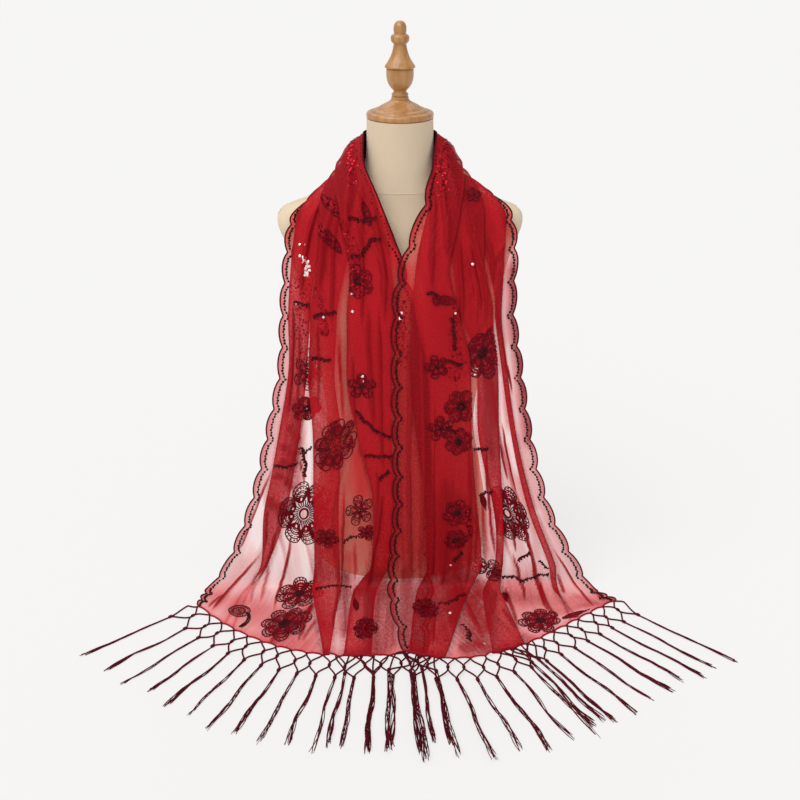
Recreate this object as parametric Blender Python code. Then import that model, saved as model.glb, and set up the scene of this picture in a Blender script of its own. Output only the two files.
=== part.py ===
"""Evening stole of sheer mesh with a netted tassel fringe, worn by a table-top dress form.

Metres, +Z up. The form's axis is the Z axis, its front faces -Y and its flat underside is z = 0.
The stole goes round the back of the neck, comes down over both sides of the chest and touches
down on the table, where its two ends and their fringes lie fanned out in front of the form.
"""
import math

import bmesh
import bpy
import numpy as np

# ------------------------------------------------------------------ driving dimensions
CLOTH = 0.0010            # wall of the sheer cloth
GAP = 0.0003              # between neighbouring solids
SEAM = 0.0009             # between two stretches of the cloth, along the stole
SCALLOP_PITCH = 0.051     # one scallop of the long edges
SCALLOP_RISE = 0.0065     # from notch to crown
EDGE_MARGIN = 0.0065      # plain cloth along a scalloped edge
BEND_RADIUS = 0.015       # where the hanging cloth turns onto the table
NECK_CUT = 0.105          # from the nape to the cut between the neck stretch and a front stretch
RAMP = 0.020              # over which a front layer climbs onto its pleat
MID_TILT = 0.15           # lean of a pleat's hidden middle layer, in layers
OPENED = 0.04             # share of the panel over which a pleat flattens out
PINCH_END = 0.40          # share of the width over which layers pinched at the inner edge part

FRINGE_TASSELS = 16       # at each end
FRINGE_STRIP = 0.004      # width of the strip that holds the fringe
FRINGE_THICK = 0.0014
FRINGE_REST = 0.0012      # middle of the cords above the table
CORD = 0.0018             # width of a net cord
NEARLY_STRAIGHT = 0.2     # sine of the turn under which two cords share one edge
LOCK = 0.0036             # width of a tassel's upper half
LOCK_TIP = 0.0020         # width of each of its two ends
ROW_ONE = 0.024           # first row of knots, from the hem
ROW_TWO = 0.050           # second row, where the tassels start
HEM_INSET = 0.012         # share of the hem left free at each corner
KNOT_DRIFT = 0.0015       # sideways, every other knot the other way
TASSEL_BENDS = (0.34, 0.66)   # shares of its length where a tassel bends, the second where it parts
TIP_SPREAD = 0.0045       # of its two ends, to each side
TIP_UNEVEN = 0.004        # in their length
CORNER_HEAD = 0.25        # how far a corner's tassel and its tie stand outside the hem, in pitches
CORNER_TIE = 0.45
CROSSING_RISE = 0.0030    # by which the right fringe passes over the left
CROSSING = (0.085, 0.125) # where it comes down again, from the middle

COLLAR_DEPTH = 0.033      # the collar section in front of the axis
COLLAR_SIDE = 0.06        # from where it falls back
COLLAR_FALL = 0.1
NECK_TOP = 0.7397
CAP_BASE = NECK_TOP + GAP
CAP_TOP = 0.7660
RING_SIDES = 36
TURNED_SIDES = 24

# ------------------------------------------------------------------ tables
# Dress form, a row for each level: height, half width, front depth, back depth, squareness.
FORM_LEVELS = [
    (0.000, 0.144, 0.102, 0.112, 2.2),
    (0.030, 0.147, 0.105, 0.116, 2.2),
    (0.080, 0.147, 0.105, 0.117, 2.2),
    (0.160, 0.136, 0.096, 0.104, 2.2),
    (0.250, 0.122, 0.086, 0.085, 2.2),
    (0.330, 0.129, 0.096, 0.082, 2.2),
    (0.400, 0.144, 0.108, 0.085, 2.3),
    (0.450, 0.154, 0.109, 0.087, 2.4),
    (0.505, 0.161, 0.096, 0.088, 2.6),
    (0.550, 0.172, 0.079, 0.086, 2.8),
    (0.592, 0.186, 0.062, 0.077, 3.0),
    (0.603, 0.183, 0.057, 0.072, 2.8),
    (0.614, 0.162, 0.053, 0.066, 2.4),
    (0.628, 0.122, 0.050, 0.060, 2.1),
    (0.643, 0.085, 0.049, 0.055, 2.0),
    (0.660, 0.060, 0.048, 0.051, 2.0),
    (0.690, 0.051, 0.048, 0.049, 2.0),
    (NECK_TOP, 0.0495, 0.0495, 0.0495, 2.0),
]
# Turned wood, from the bottom up: radius, height.
CAP_PROFILE = [
    (0.0478, CAP_BASE), (0.0490, 0.7418), (0.0490, 0.7462), (0.0476, 0.7485), (0.0410, 0.7500),
    (0.0365, 0.7520), (0.0290, 0.7565), (0.0205, 0.7605), (0.0145, 0.7640), (0.0128, CAP_TOP),
]
FINIAL_PROFILE = [
    (0.0126, CAP_TOP + GAP), (0.0118, 0.7720), (0.0098, 0.7768), (0.0138, 0.7825),
    (0.0178, 0.7894), (0.0197, 0.7990), (0.0197, 0.8070), (0.0220, 0.8107), (0.0172, 0.8180),
    (0.0134, 0.8249), (0.0106, 0.8330), (0.0092, 0.8398), (0.0099, 0.8424), (0.0133, 0.8490),
    (0.0084, 0.8546), (0.0091, 0.8600), (0.0070, 0.8680), (0.0030, 0.8724),
]
# Curtain that both front stretches follow: height, depth in front of the axis, how it curves back.
FRONT_LEVELS = [
    (0.000, 0.1220, 0.06), (0.045, 0.1215, 0.06), (0.160, 0.1200, 0.21), (0.280, 0.1175, 0.49),
    (0.395, 0.1140, 0.97), (0.450, 0.1128, 1.08), (0.505, 0.1010, 1.08), (0.555, 0.0860, 0.92),
    (0.600, 0.0700, 0.88), (0.640, 0.0570, 0.88),
]
# Sections of the stole from the nape outwards, four points each from its inner to its outer edge,
# with x measured away from the middle. Round the neck: x, y, z.
NECK_SECTIONS = {
    "nape": ((0.000, 0.0525, 0.712), (0.000, 0.0545, 0.684),
             (0.000, 0.0595, 0.656), (0.000, 0.067, 0.630)),
    "nape side": ((0.0365, 0.0385, 0.716), (0.041, 0.041, 0.688),
                  (0.051, 0.045, 0.661), (0.072, 0.049, 0.640)),
    "neck side": ((0.0525, 0.002, 0.718), (0.057, 0.002, 0.690),
                  (0.071, 0.001, 0.664), (0.101, -0.001, 0.646)),
}
# In front: x, z. The curtain gives y down to the table.
LEFT_SECTIONS = {
    "collar": ((0.0430, 0.688), (0.061, 0.663), (0.094, 0.645), (0.137, 0.627)),
    "upper chest": ((0.0240, 0.636), (0.066, 0.620), (0.113, 0.606), (0.162, 0.598)),
    "chest": ((-0.0040, 0.560), (0.055, 0.552), (0.115, 0.543), (0.1705, 0.545)),
    "bust": ((-0.0240, 0.480), (0.045, 0.473), (0.114, 0.468), (0.178, 0.470)),
    "ribs": ((-0.0410, 0.395), (0.040, 0.390), (0.118, 0.387), (0.184, 0.388)),
    "waist": ((-0.0470, 0.280), (0.042, 0.280), (0.130, 0.280), (0.207, 0.280)),
    "hip": ((-0.0520, 0.160), (0.050, 0.160), (0.149, 0.160), (0.238, 0.160)),
    "low": ((-0.0530, 0.045), (0.063, 0.045), (0.176, 0.045), (0.284, 0.045)),
    "touch": ((-0.0520, 0.0), (0.074, 0.0), (0.200, 0.0), (0.318, 0.0)),
}
RIGHT_SECTIONS = {
    "collar": ((0.0440, 0.682), (0.060, 0.660), (0.092, 0.644), (0.133, 0.629)),
    "upper chest": ((0.0350, 0.634), (0.071, 0.620), (0.115, 0.608), (0.160, 0.602)),
    "chest": ((0.0040, 0.553), (0.059, 0.548), (0.116, 0.544), (0.172, 0.548)),
    "bust": ((-0.0090, 0.490), (0.051, 0.480), (0.111, 0.476), (0.1715, 0.480)),
    "ribs": ((-0.0104, 0.405), (0.055, 0.402), (0.119, 0.400), (0.1825, 0.402)),
    "waist": ((-0.0095, 0.280), (0.062, 0.280), (0.133, 0.280), (0.2035, 0.280)),
    "hip": ((-0.0090, 0.160), (0.072, 0.160), (0.153, 0.160), (0.235, 0.160)),
    "low": ((-0.0170, 0.045), (0.085, 0.045), (0.188, 0.045), (0.290, 0.045)),
    "touch": ((-0.0180, 0.0), (0.094, 0.0), (0.206, 0.0), (0.320, 0.0)),
}
# Turn onto the table: degrees, and share of the way from "low" to "touch".
BEND_TURNS = ((0, 0.56), (45, 0.78), (90, 1.0))
# Hem on the table: x, y at the same four points.
LEFT_HEM = ((-0.041, -0.284), (0.090, -0.290), (0.212, -0.240), (0.327, -0.171))
RIGHT_HEM = ((0.0045, -0.286), (0.1265, -0.284), (0.239, -0.222), (0.350, -0.159))
# Pleats at each section: inner and outer fold of three pleats, as shares of the width that shows,
# then the rise of a layer, how far the layers settle back beyond a pleat, the lift of the panel
# off the one behind it, and how far the layers are pinched together at the inner edge.
NECK_PLEATS = {
    "nape": ((0.04, 0.88), (0.08, 0.92), (0.12, 0.96), 0.0032, 0.0, 0.0, 0.45),
    "nape side": ((0.04, 0.88), (0.08, 0.92), (0.12, 0.96), 0.0032, 0.0, 0.0, 0.45),
    "neck side": ((0.04, 0.86), (0.08, 0.90), (0.12, 0.95), 0.0032, 0.0, 0.0, 0.45),
}
LEFT_PLEATS = {
    "collar": ((0.04, 0.62), (0.17, 0.77), (0.32, 0.93), 0.0030, 0.0, 0.0, 0.35),
    "upper chest": ((0.05, 0.40), (0.27, 0.64), (0.52, 0.93), 0.0027, 0.1, 0.0, 0.10),
    "chest": ((0.07, 0.27), (0.31, 0.55), (0.59, 0.93), 0.0026, 0.7, 0.0, 0.0),
    "bust": ((0.10, 0.24), (0.31, 0.52), (0.58, 0.93), 0.0028, 1.0, 0.0, 0.0),
    "ribs": ((0.12, 0.25), (0.33, 0.53), (0.66, 0.92), 0.0028, 1.0, 0.0, 0.0),
    "waist": ((0.16, 0.29), (0.42, 0.69), (0.79, 0.915), 0.0028, 1.0, 0.0, 0.0),
    "hip": ((0.17, 0.29), (0.49, 0.617), (0.76, 0.90), 0.0026, 1.0, 0.0, 0.0),
    "low": ((0.18, 0.29), (0.48, 0.567), (0.81, 0.89), 0.0022, 1.0, 0.0, 0.0),
    "touch": ((0.22, 0.33), (0.47, 0.52), (0.835, 0.885), 0.0018, 1.0, 0.0, 0.0),
    "hem": ((0.21, 0.32), (0.40, 0.44), (0.850, 0.885), 0.0016, 1.0, 0.0, 0.0),
}
RIGHT_PLEATS = {
    "collar": ((0.04, 0.60), (0.18, 0.77), (0.33, 0.93), 0.0030, 0.0, 0.0, 0.35),
    "upper chest": ((0.06, 0.42), (0.30, 0.68), (0.54, 0.92), 0.0027, 0.1, 0.0, 0.10),
    "chest": ((0.12, 0.38), (0.42, 0.70), (0.74, 0.88), 0.0026, 0.7, 0.0078, 0.0),
    "bust": ((0.18, 0.45), (0.50, 0.78), (0.83, 0.90), 0.0028, 1.0, 0.0090, 0.0),
    "ribs": ((0.23, 0.475), (0.530, 0.80), (0.85, 0.90), 0.0028, 1.0, 0.0090, 0.0),
    "waist": ((0.16, 0.55), (0.640, 0.73), (0.795, 0.84), 0.0028, 1.0, 0.0090, 0.0),
    "hip": ((0.20, 0.568), (0.625, 0.69), (0.80, 0.86), 0.0026, 1.0, 0.0085, 0.0),
    "low": ((0.30, 0.560), (0.640, 0.67), (0.77, 0.83), 0.0022, 1.0, 0.0070, 0.0),
    "touch": ((0.36, 0.515), (0.590, 0.628), (0.70, 0.76), 0.0018, 1.0, 0.0048, 0.0),
    "hem": ((0.35, 0.43), (0.530, 0.562), (0.67, 0.715), 0.0016, 1.0, 0.0030, 0.0),
}
LIFT_FADE = (0.22, 0.60)    # shares of the width between which that lift dies away
# Direction of the tassels, degrees outwards from straight ahead, at even steps along the hem.
LEFT_FAN = (-6.0, 4.0, 18.0, 34.0, 50.0)
RIGHT_FAN = (0.0, 19.0, 30.0, 44.0, 47.0)
LEFT_TASSEL, RIGHT_TASSEL = 0.142, 0.156
TASSEL_UNEVEN = (0.000, 0.006, -0.004, 0.003, -0.007, 0.005, -0.002, 0.004)
TASSEL_SWAY = (0.0022, -0.0030, 0.0015, 0.0034, -0.0018, -0.0026, 0.0030, -0.0012)

SAMPLES_OUT = 4             # between two folds where the cloth runs outwards
SAMPLES_BACK = 2            # and where it runs back inside a pleat
NECK_ROWS = 9
SHOULDER_END = 0.225        # from the nape
SHOULDER_ROWS = 7
HANG_ROWS = 11
BEND_ROWS = 4
FLOOR_ROWS = 2
EDGE_POINTS = 4             # of each scallop

MATERIALS = {
    "sheer_red": ((0.45, 0.012, 0.03, 1.0), 0.6, 0.0),
    "wine_cord": ((0.06, 0.006, 0.012, 1.0), 0.7, 0.0),
    "linen": ((0.69, 0.55, 0.39, 1.0), 0.9, 0.0),
    "turned_wood": ((0.58, 0.32, 0.12, 1.0), 0.4, 0.0),
}


def clear_scene():
    for thing in list(bpy.data.objects):
        bpy.data.objects.remove(thing)


def material(name):
    found = bpy.data.materials.get(name)
    if found:
        return found
    colour, roughness, metallic = MATERIALS[name]
    made = bpy.data.materials.new(name)
    made.use_nodes = True
    shader = made.node_tree.nodes["Principled BSDF"]
    shader.inputs["Base Color"].default_value = colour
    shader.inputs["Roughness"].default_value = roughness
    shader.inputs["Metallic"].default_value = metallic
    made.diffuse_color = colour
    return made


def solid(name, points, faces, finish):
    """A closed mesh object whose faces point outwards."""
    mesh = bpy.data.meshes.new(name)
    mesh.from_pydata([tuple(map(float, p)) for p in points], [], faces)
    work = bmesh.new()
    work.from_mesh(mesh)
    bmesh.ops.triangulate(work, faces=work.faces)
    if work.calc_volume(signed=True) < 0:
        bmesh.ops.reverse_faces(work, faces=work.faces)
    work.to_mesh(mesh)
    work.free()
    mesh.shade_smooth()
    mesh.set_sharp_from_angle(angle=math.radians(40))
    mesh.materials.append(material(finish))
    thing = bpy.data.objects.new(name, mesh)
    bpy.context.scene.collection.objects.link(thing)
    return thing


def smoothstep(low, high, value):
    share = np.clip((value - low) / (high - low), 0.0, 1.0)
    return share * share * (3 - 2 * share)


def monotone(knots, values, at):
    """Smooth curve through the values that never overshoots them; values has a row for each knot."""
    knots, values = np.asarray(knots, float), np.asarray(values, float)
    step = np.diff(knots)
    shape = (len(step),) + (1,) * (values.ndim - 1)
    slope = np.diff(values, axis=0) / step.reshape(shape)
    product, total = slope[:-1] * slope[1:], slope[:-1] + slope[1:]
    inner = np.where(product > 0, 2 * product / np.where(total == 0, 1, total), 0.0)
    tangent = np.concatenate([slope[:1], inner, slope[-1:]])
    i = int(np.clip(np.searchsorted(knots, at) - 1, 0, len(step) - 1))
    h = step[i]
    u = (at - knots[i]) / h
    return (values[i] * (2 * u ** 3 - 3 * u ** 2 + 1) + tangent[i] * h * (u ** 3 - 2 * u ** 2 + u)
            + values[i + 1] * (3 * u ** 2 - 2 * u ** 3) + tangent[i + 1] * h * (u ** 3 - u ** 2))


# ------------------------------------------------------------------ the stole's surface
def curtain(x, z):
    """y of the hanging cloth at a height, falling back towards the sides."""
    depth, curve = monotone([row[0] for row in FRONT_LEVELS],
                            [row[1:] for row in FRONT_LEVELS], min(z, FRONT_LEVELS[-1][0]))
    return -depth + curve * x * x


class Half:
    """One half of the stole, from the nape to a hem, with x measured away from the middle."""

    def __init__(self, sections, hem, pleats):
        rest = CLOTH / 2
        rows, folds = [], []
        for name, points in NECK_SECTIONS.items():
            rows.append(points)
            folds.append(NECK_PLEATS[name])
        collar = [(x, COLLAR_FALL * max(x - COLLAR_SIDE, 0) - COLLAR_DEPTH, z)
                  for x, z in sections["collar"]]
        rows.append(collar)
        folds.append(pleats["collar"])
        for name in ("upper chest", "chest", "bust", "ribs", "waist", "hip", "low"):
            rows.append([(x, curtain(x, z), z) for x, z in sections[name]])
            folds.append(pleats[name])
        for angle, share in BEND_TURNS:
            turn = math.radians(angle)
            row = []
            for (x0, z0), (x1, _) in zip(sections["low"], sections["touch"]):
                x = x0 + (x1 - x0) * share
                row.append((x, curtain(x0, z0) - BEND_RADIUS * (1 - math.cos(turn)),
                            rest + BEND_RADIUS * (1 - math.sin(turn))))
            rows.append(row)
            folds.append(self.between(pleats["low"], pleats["touch"], share))
        rows.append([(x, y, rest) for x, y in hem])
        folds.append(pleats["hem"])
        self.rows = np.array(rows, float)
        self.folds = np.array([[f for pair in row[:3] for f in pair] + list(row[3:]) for row in folds])
        steps = np.linalg.norm(np.diff(self.rows, axis=0), axis=2).mean(axis=1)
        self.along = np.concatenate([[0.0], np.cumsum(steps)])
        self.length = float(self.along[-1])
        self.bend_start = float(self.along[-2 - len(BEND_TURNS)])
        self.touch = float(self.along[-2])

    @staticmethod
    def between(first, second, share):
        mixed = [tuple(np.array(a) * (1 - share) + np.array(b) * share)
                 for a, b in zip(first[:3], second[:3])]
        return (*mixed, *(a * (1 - share) + b * share for a, b in zip(first[3:], second[3:])))

    def columns(self, s):
        """The section's four points at a distance s from the nape, mirrored beyond the nape."""
        four = monotone(self.along, self.rows, abs(s))
        if s < 0:
            four = four * np.array([-1.0, 1.0, 1.0])
        return four

    def plain(self, t, s):
        """Points of the section's own curve, a cubic through its four points."""
        t = np.asarray(t, float)[:, None]
        four = self.columns(s)
        u = 3 * t
        weights = (-(u - 1) * (u - 2) * (u - 3) / 6, u * (u - 2) * (u - 3) / 2,
                   -u * (u - 1) * (u - 3) / 2, u * (u - 1) * (u - 2) / 6)
        return sum(w * p for w, p in zip(weights, four))

    def outward(self, t, s, nudge=1e-3):
        """Direction away from the form, or up from the table."""
        across = self.plain(np.asarray(t) + nudge, s) - self.plain(np.asarray(t) - nudge, s)
        down = self.plain(t, min(s + nudge, self.length)) - self.plain(t, s - nudge)
        normal = np.cross(down, across)
        return normal / np.linalg.norm(normal, axis=1)[:, None]

    def breadth(self, s):
        return float(np.linalg.norm(np.diff(self.columns(s), axis=0), axis=1).sum())

    def zigzag(self, s):
        """Share of the width and height above the base curve, from the inner to the outer edge."""
        row = monotone(self.along, self.folds, abs(s))
        inner, outer = row[0:6:2], row[1:6:2]
        rise, settle, lift, pinch = row[6:10]
        width = self.breadth(s)
        ramp = RAMP / width
        rises = rise * np.clip((outer - inner + OPENED) / (1.5 * OPENED), 0.0, 1.0)
        turns = [0.0]
        for k in range(3):
            turns += [outer[k], inner[k]]
        turns.append(1.0)

        def height(t, passed, lean=0.0):
            total = 0.0
            for k in range(3):
                layers = 2 - min(max(passed - 2 * k, 0), 2)
                if passed == 2 * k + 1:
                    layers += lean
                climb = 1 - settle * (1 - smoothstep(inner[k] - ramp, inner[k], t))
                total += rises[k] * layers * climb
            return total * (1 - pinch * (1 - smoothstep(0.0, PINCH_END, t)))

        path = [(0.0, height(0.0, 0))]
        for leg in range(7):
            start, end = turns[leg], turns[leg + 1]
            way = 1.0 if end >= start else -1.0
            run = abs(end - start)
            tuck = min(0.5 * rise / width, run / 3)
            first = start + way * tuck * (leg > 0)
            last = end - way * tuck * (leg < 6)
            backward = leg % 2 == 1
            count = SAMPLES_BACK if backward else SAMPLES_OUT
            if leg > 0:
                path.append((first, height(first, leg, MID_TILT * backward)))
            even = [first + (last - first) * (i + 1) / (count + 1) for i in range(count)]
            if not backward and leg < 6:
                k = leg // 2
                margin = 0.0 if leg else EDGE_MARGIN / width
                foot = max(inner[k] - ramp, first + 0.3 * (inner[k] - first), 1.4 * margin)
                top = inner[k] - min(0.2 * ramp, 0.3 * max(inner[k] - first, 0.0))
                fitted = [max(0.5 * (first + foot), margin), foot, top, 0.5 * (inner[k] + last)]
                even = [e * (1 - settle) + f * settle for e, f in zip(even, fitted)]
            for i, t in enumerate(even):
                lean = MID_TILT * (1 - 2 * (i + 1) / (count + 1)) if backward else 0.0
                path.append((t, height(t, leg, lean)))
            if leg < 6:
                path.append((last, height(last, leg, -MID_TILT * backward)))
                middle = 0.5 * (height(end, leg) + height(end, leg + 1))
                path.append((end, middle))
        path.append((1.0, height(1.0, 6)))
        t, d = np.array(path).T
        return t, d + lift * (1 - smoothstep(*LIFT_FADE, t))

    def row(self, s):
        """Middle of the cloth along one cut across it."""
        t, d = self.zigzag(s)
        return self.plain(t, s) + self.outward(t, s) * d[:, None]

    def row_and_normals(self, s, nudge=2e-3):
        here = self.row(s)
        ahead, behind = self.row(min(s + nudge, self.length)), self.row(s - nudge)
        across = np.empty_like(here)
        across[1:-1] = here[2:] - here[:-2]
        across[0], across[-1] = here[1] - here[0], here[-1] - here[-2]
        normal = np.cross(ahead - behind, across)
        normal /= np.linalg.norm(normal, axis=1)[:, None]
        return here, normal


def scallop(s):
    """How far the long edge stands out at a distance s from the nape."""
    return SCALLOP_RISE * (abs(math.sin(math.pi * s / SCALLOP_PITCH)) ** 0.75 - 0.55)


def cloth_solid(name, rows, sides, halves):
    """A wall through the rows; each row is a signed distance from the nape, and picks its half."""
    edges = ((0, 1), (-1, -2))          # an edge's own column and the one inside it

    def wall(s, side, half):
        middle, normal = half.row_and_normals(abs(s))
        layers = [(middle + way * normal * CLOTH / 2) * np.array([side, 1.0, 1.0]) for way in (1, -1)]
        for layer in layers:
            layer[:, 2] = np.maximum(layer[:, 2], 0.0)
        return layers

    def stand_out(edge, inside, s):
        way = edge - inside
        return edge + way / np.linalg.norm(way) * scallop(s)

    straight = [wall(*row) for row in zip(rows, sides, halves)]
    count = len(straight[0][0])
    points, faces = [], []
    for s, layers in zip(rows, straight):
        for layer in layers:
            made = layer.copy()
            for edge, inside in edges:
                made[edge] = stand_out(layer[edge], layer[inside], s)
            points += list(made)

    def index(row, column, layer):
        return row * 2 * count + layer * count + column

    # extra points along both scalloped edges, between one row and the next
    extra = {}
    step = SCALLOP_PITCH / EDGE_POINTS
    for i in range(len(rows) - 1):
        low, high = sorted((rows[i], rows[i + 1]))
        marks = [k * step for k in range(math.floor(low / step), math.ceil(high / step) + 1)]
        marks = [m for m in marks if low + 0.3 * step < m < high - 0.3 * step]
        if rows[i + 1] < rows[i]:
            marks.reverse()
        for mark in marks:
            share = (mark - rows[i]) / (rows[i + 1] - rows[i])
            for side, (edge, inside) in enumerate(edges):
                extra.setdefault((i, side), []).append((len(points), len(points) + 1))
                for near, far in zip(straight[i], straight[i + 1]):
                    blend = near * (1 - share) + far * share
                    points.append(stand_out(blend[edge], blend[inside], mark))

    for i in range(len(rows) - 1):
        for j in range(count - 1):
            for layer in (0, 1):
                a, b = index(i, j, layer), index(i, j + 1, layer)
                c, d = index(i + 1, j + 1, layer), index(i + 1, j, layer)
                face = [a, b, c, d]
                if j == 0:
                    face += [pair[layer] for pair in reversed(extra.get((i, 0), []))]
                elif j == count - 2:
                    face = [a, b] + [pair[layer] for pair in extra.get((i, 1), [])] + [c, d]
                faces.append(face if layer == 0 else face[::-1])
        for edge, column in ((0, 0), (1, count - 1)):
            rim = [(index(i, column, 0), index(i, column, 1))]
            rim += extra.get((i, edge), [])
            rim.append((index(i + 1, column, 0), index(i + 1, column, 1)))
            for (f0, b0), (f1, b1) in zip(rim, rim[1:]):
                face = [f0, f1, b1, b0]
                faces.append(face[::-1] if edge else face)
    for i in (0, len(rows) - 1):
        for j in range(count - 1):
            face = [index(i, j, 0), index(i, j, 1), index(i, j + 1, 1), index(i, j + 1, 0)]
            faces.append(face if i == 0 else face[::-1])
    return solid(name, points, faces, "sheer_red")


def front_rows(half):
    shoulder = np.linspace(NECK_CUT + SEAM / 2, SHOULDER_END, SHOULDER_ROWS)
    hang = np.linspace(SHOULDER_END, half.bend_start, HANG_ROWS + 1)[1:]
    bend = np.linspace(half.bend_start, half.touch, BEND_ROWS + 1)[1:]
    floor = np.linspace(half.touch, half.length, FLOOR_ROWS + 1)[1:]
    return np.concatenate([shoulder, hang, bend, floor])


# ------------------------------------------------------------------ the fringe
def cord_net(name, places, links, finish):
    """One flat-corded solid: places maps a key to (x, y, z), links are (key, key, width)."""
    around = {key: [] for key in places}
    for a, b, width in links:
        around[a].append((b, width))
        around[b].append((a, width))
    points, left, right, faces = [], {}, {}, []

    def corner(spot, key):
        z = places[key][2]
        points.extend([(spot[0], spot[1], z + FRINGE_THICK / 2),
                       (spot[0], spot[1], z - FRINGE_THICK / 2)])
        return len(points) - 2

    for key, links_here in around.items():
        here = np.array(places[key][:2])
        spokes = []
        for other, width in links_here:
            way = np.array(places[other][:2]) - here
            way /= np.linalg.norm(way)
            spokes.append((math.atan2(way[1], way[0]), other, way, width / 2))
        spokes.sort(key=lambda spoke: spoke[0])
        polygon = []
        for i, (_, other, way, half_width) in enumerate(spokes):
            side = np.array([-way[1], way[0]])
            if len(spokes) == 1:
                left[key, other] = corner(here + side * half_width, key)
                right[key, other] = corner(here - side * half_width, key)
                one, two = left[key, other], right[key, other]
                faces.append([one, one + 1, two + 1, two])
                break
            _, after, next_way, next_half = spokes[(i + 1) % len(spokes)]
            next_side = np.array([-next_way[1], next_way[0]])
            p, q = here + side * half_width, here - next_side * next_half
            cross = way[0] * next_way[1] - way[1] * next_way[0]
            if abs(cross) < NEARLY_STRAIGHT and way @ next_way < 0:
                spot = 0.5 * (p + q)
            else:
                gap = q - p
                spot = p + way * (gap[0] * next_way[1] - gap[1] * next_way[0]) / cross
            made = corner(spot, key)
            left[key, other] = made
            right[key, after] = made
            polygon.append(made)
        if len(polygon) > 2:
            faces += [polygon, [v + 1 for v in reversed(polygon)]]
    for a, b, _ in links:
        top = [right[a, b], left[b, a], right[b, a], left[a, b]]
        faces += [top, [v + 1 for v in reversed(top)]]
        for v, w in ((right[a, b], left[b, a]), (right[b, a], left[a, b])):
            faces.append([v + 1, w + 1, w, v])
    return solid(name, points, faces, finish)


def fringe(name, half, side, fan, length, over):
    """Strip along the hem, two rows of knotted cells, and a tassel of two ends under each knot."""
    count = FRINGE_TASSELS
    away = 2 * GAP + FRINGE_STRIP / 2

    def hem(share, nudge=0.01):
        t = np.array([HEM_INSET + (1 - 2 * HEM_INSET) * share])
        before, after = half.plain(t - nudge, half.length)[0], half.plain(t + nudge, half.length)[0]
        tangent = (after - before)[:2] / np.linalg.norm((after - before)[:2])
        return half.plain(t, half.length)[0][:2], np.array([tangent[1], -tangent[0]])

    def place(share, out, slide=0.0):
        point, normal = hem(min(max(share, 0.0), 1.0))
        beyond = share - min(max(share, 0.0), 1.0)
        tangent = np.array([-normal[1], normal[0]])
        spot = point + normal * out + tangent * (slide + beyond * half.breadth(half.length))
        rise = over * (1 - smoothstep(*CROSSING, point[0]))
        return (side * spot[0], spot[1], FRINGE_REST + rise)

    places, links = {}, []
    strip = 2 * (count - 1)
    for i in range(strip + 1):
        places["strip", i] = place(i / strip, away)
        if i:
            links.append((("strip", i - 1), ("strip", i), FRINGE_STRIP))
    pitch = 1.0 / (count - 1)
    for i in range(count - 1):
        places["knot", i] = place((i + 0.5) * pitch, ROW_ONE, KNOT_DRIFT * (-1) ** i)
        links.append((("strip", 2 * i), ("knot", i), CORD))
        links.append((("strip", 2 * i + 2), ("knot", i), CORD))
    for i in range(count):
        share = i * pitch
        outer = (i == count - 1) - (i == 0)
        places["head", i] = place(share + CORNER_HEAD * outer * pitch, ROW_TWO)
        for j in (i - 1, i):
            if 0 <= j < count - 1:
                links.append((("knot", j), ("head", i), CORD))
        if outer:
            places["tie", i] = place(share + CORNER_TIE * outer * pitch, 0.6 * ROW_ONE)
            links.append((("strip", strip * (i > 0)), ("tie", i), CORD))
            links.append((("tie", i), ("head", i), CORD))
        turn = np.interp(share, np.linspace(0, 1, len(fan)), fan)
        reach = length + TASSEL_UNEVEN[i % len(TASSEL_UNEVEN)]
        sway = TASSEL_SWAY[i % len(TASSEL_SWAY)]
        way = np.array([side * math.sin(math.radians(turn)), -math.cos(math.radians(turn))])
        cross = np.array([-way[1], way[0]])
        head = np.array(places["head", i][:2])
        height = places["head", i][2]
        previous = ("head", i)
        for step, (far, drift) in enumerate(zip(TASSEL_BENDS, (sway, -sway))):
            places["lock", i, step] = (*(head + way * reach * far + cross * drift), height)
            links.append((previous, ("lock", i, step), LOCK))
            previous = ("lock", i, step)
        for end in (-1, 1):
            tip = head + way * (reach - TIP_UNEVEN * end) + cross * (end * TIP_SPREAD + 0.5 * sway)
            places["tip", i, end] = (*tip, height)
            links.append((previous, ("tip", i, end), LOCK_TIP))
    return cord_net(name, places, links, "wine_cord")


# ------------------------------------------------------------------ the dress form
def torso():
    points, faces = [], []
    for height, half_width, front, back, square in FORM_LEVELS:
        for k in range(RING_SIDES):
            angle = 2 * math.pi * k / RING_SIDES
            c, s = math.cos(angle), math.sin(angle)
            x = half_width * math.copysign(abs(c) ** (2 / square), c)
            depth = front if s < 0 else back
            y = depth * math.copysign(abs(s) ** (2 / square), s)
            points.append((x, y, height))
    faces = tube_faces(len(FORM_LEVELS), RING_SIDES)
    return solid("form_torso", points, faces, "linen")


def tube_faces(rings, sides):
    faces = [list(range(sides))[::-1], [(rings - 1) * sides + k for k in range(sides)]]
    for r in range(rings - 1):
        for k in range(sides):
            n = (k + 1) % sides
            faces.append([r * sides + k, r * sides + n, (r + 1) * sides + n, (r + 1) * sides + k])
    return faces


def turned(name, profile):
    points = []
    for radius, height in profile:
        for k in range(TURNED_SIDES):
            angle = 2 * math.pi * k / TURNED_SIDES
            points.append((radius * math.cos(angle), radius * math.sin(angle), height))
    return solid(name, points, tube_faces(len(profile), TURNED_SIDES), "turned_wood")


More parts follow.
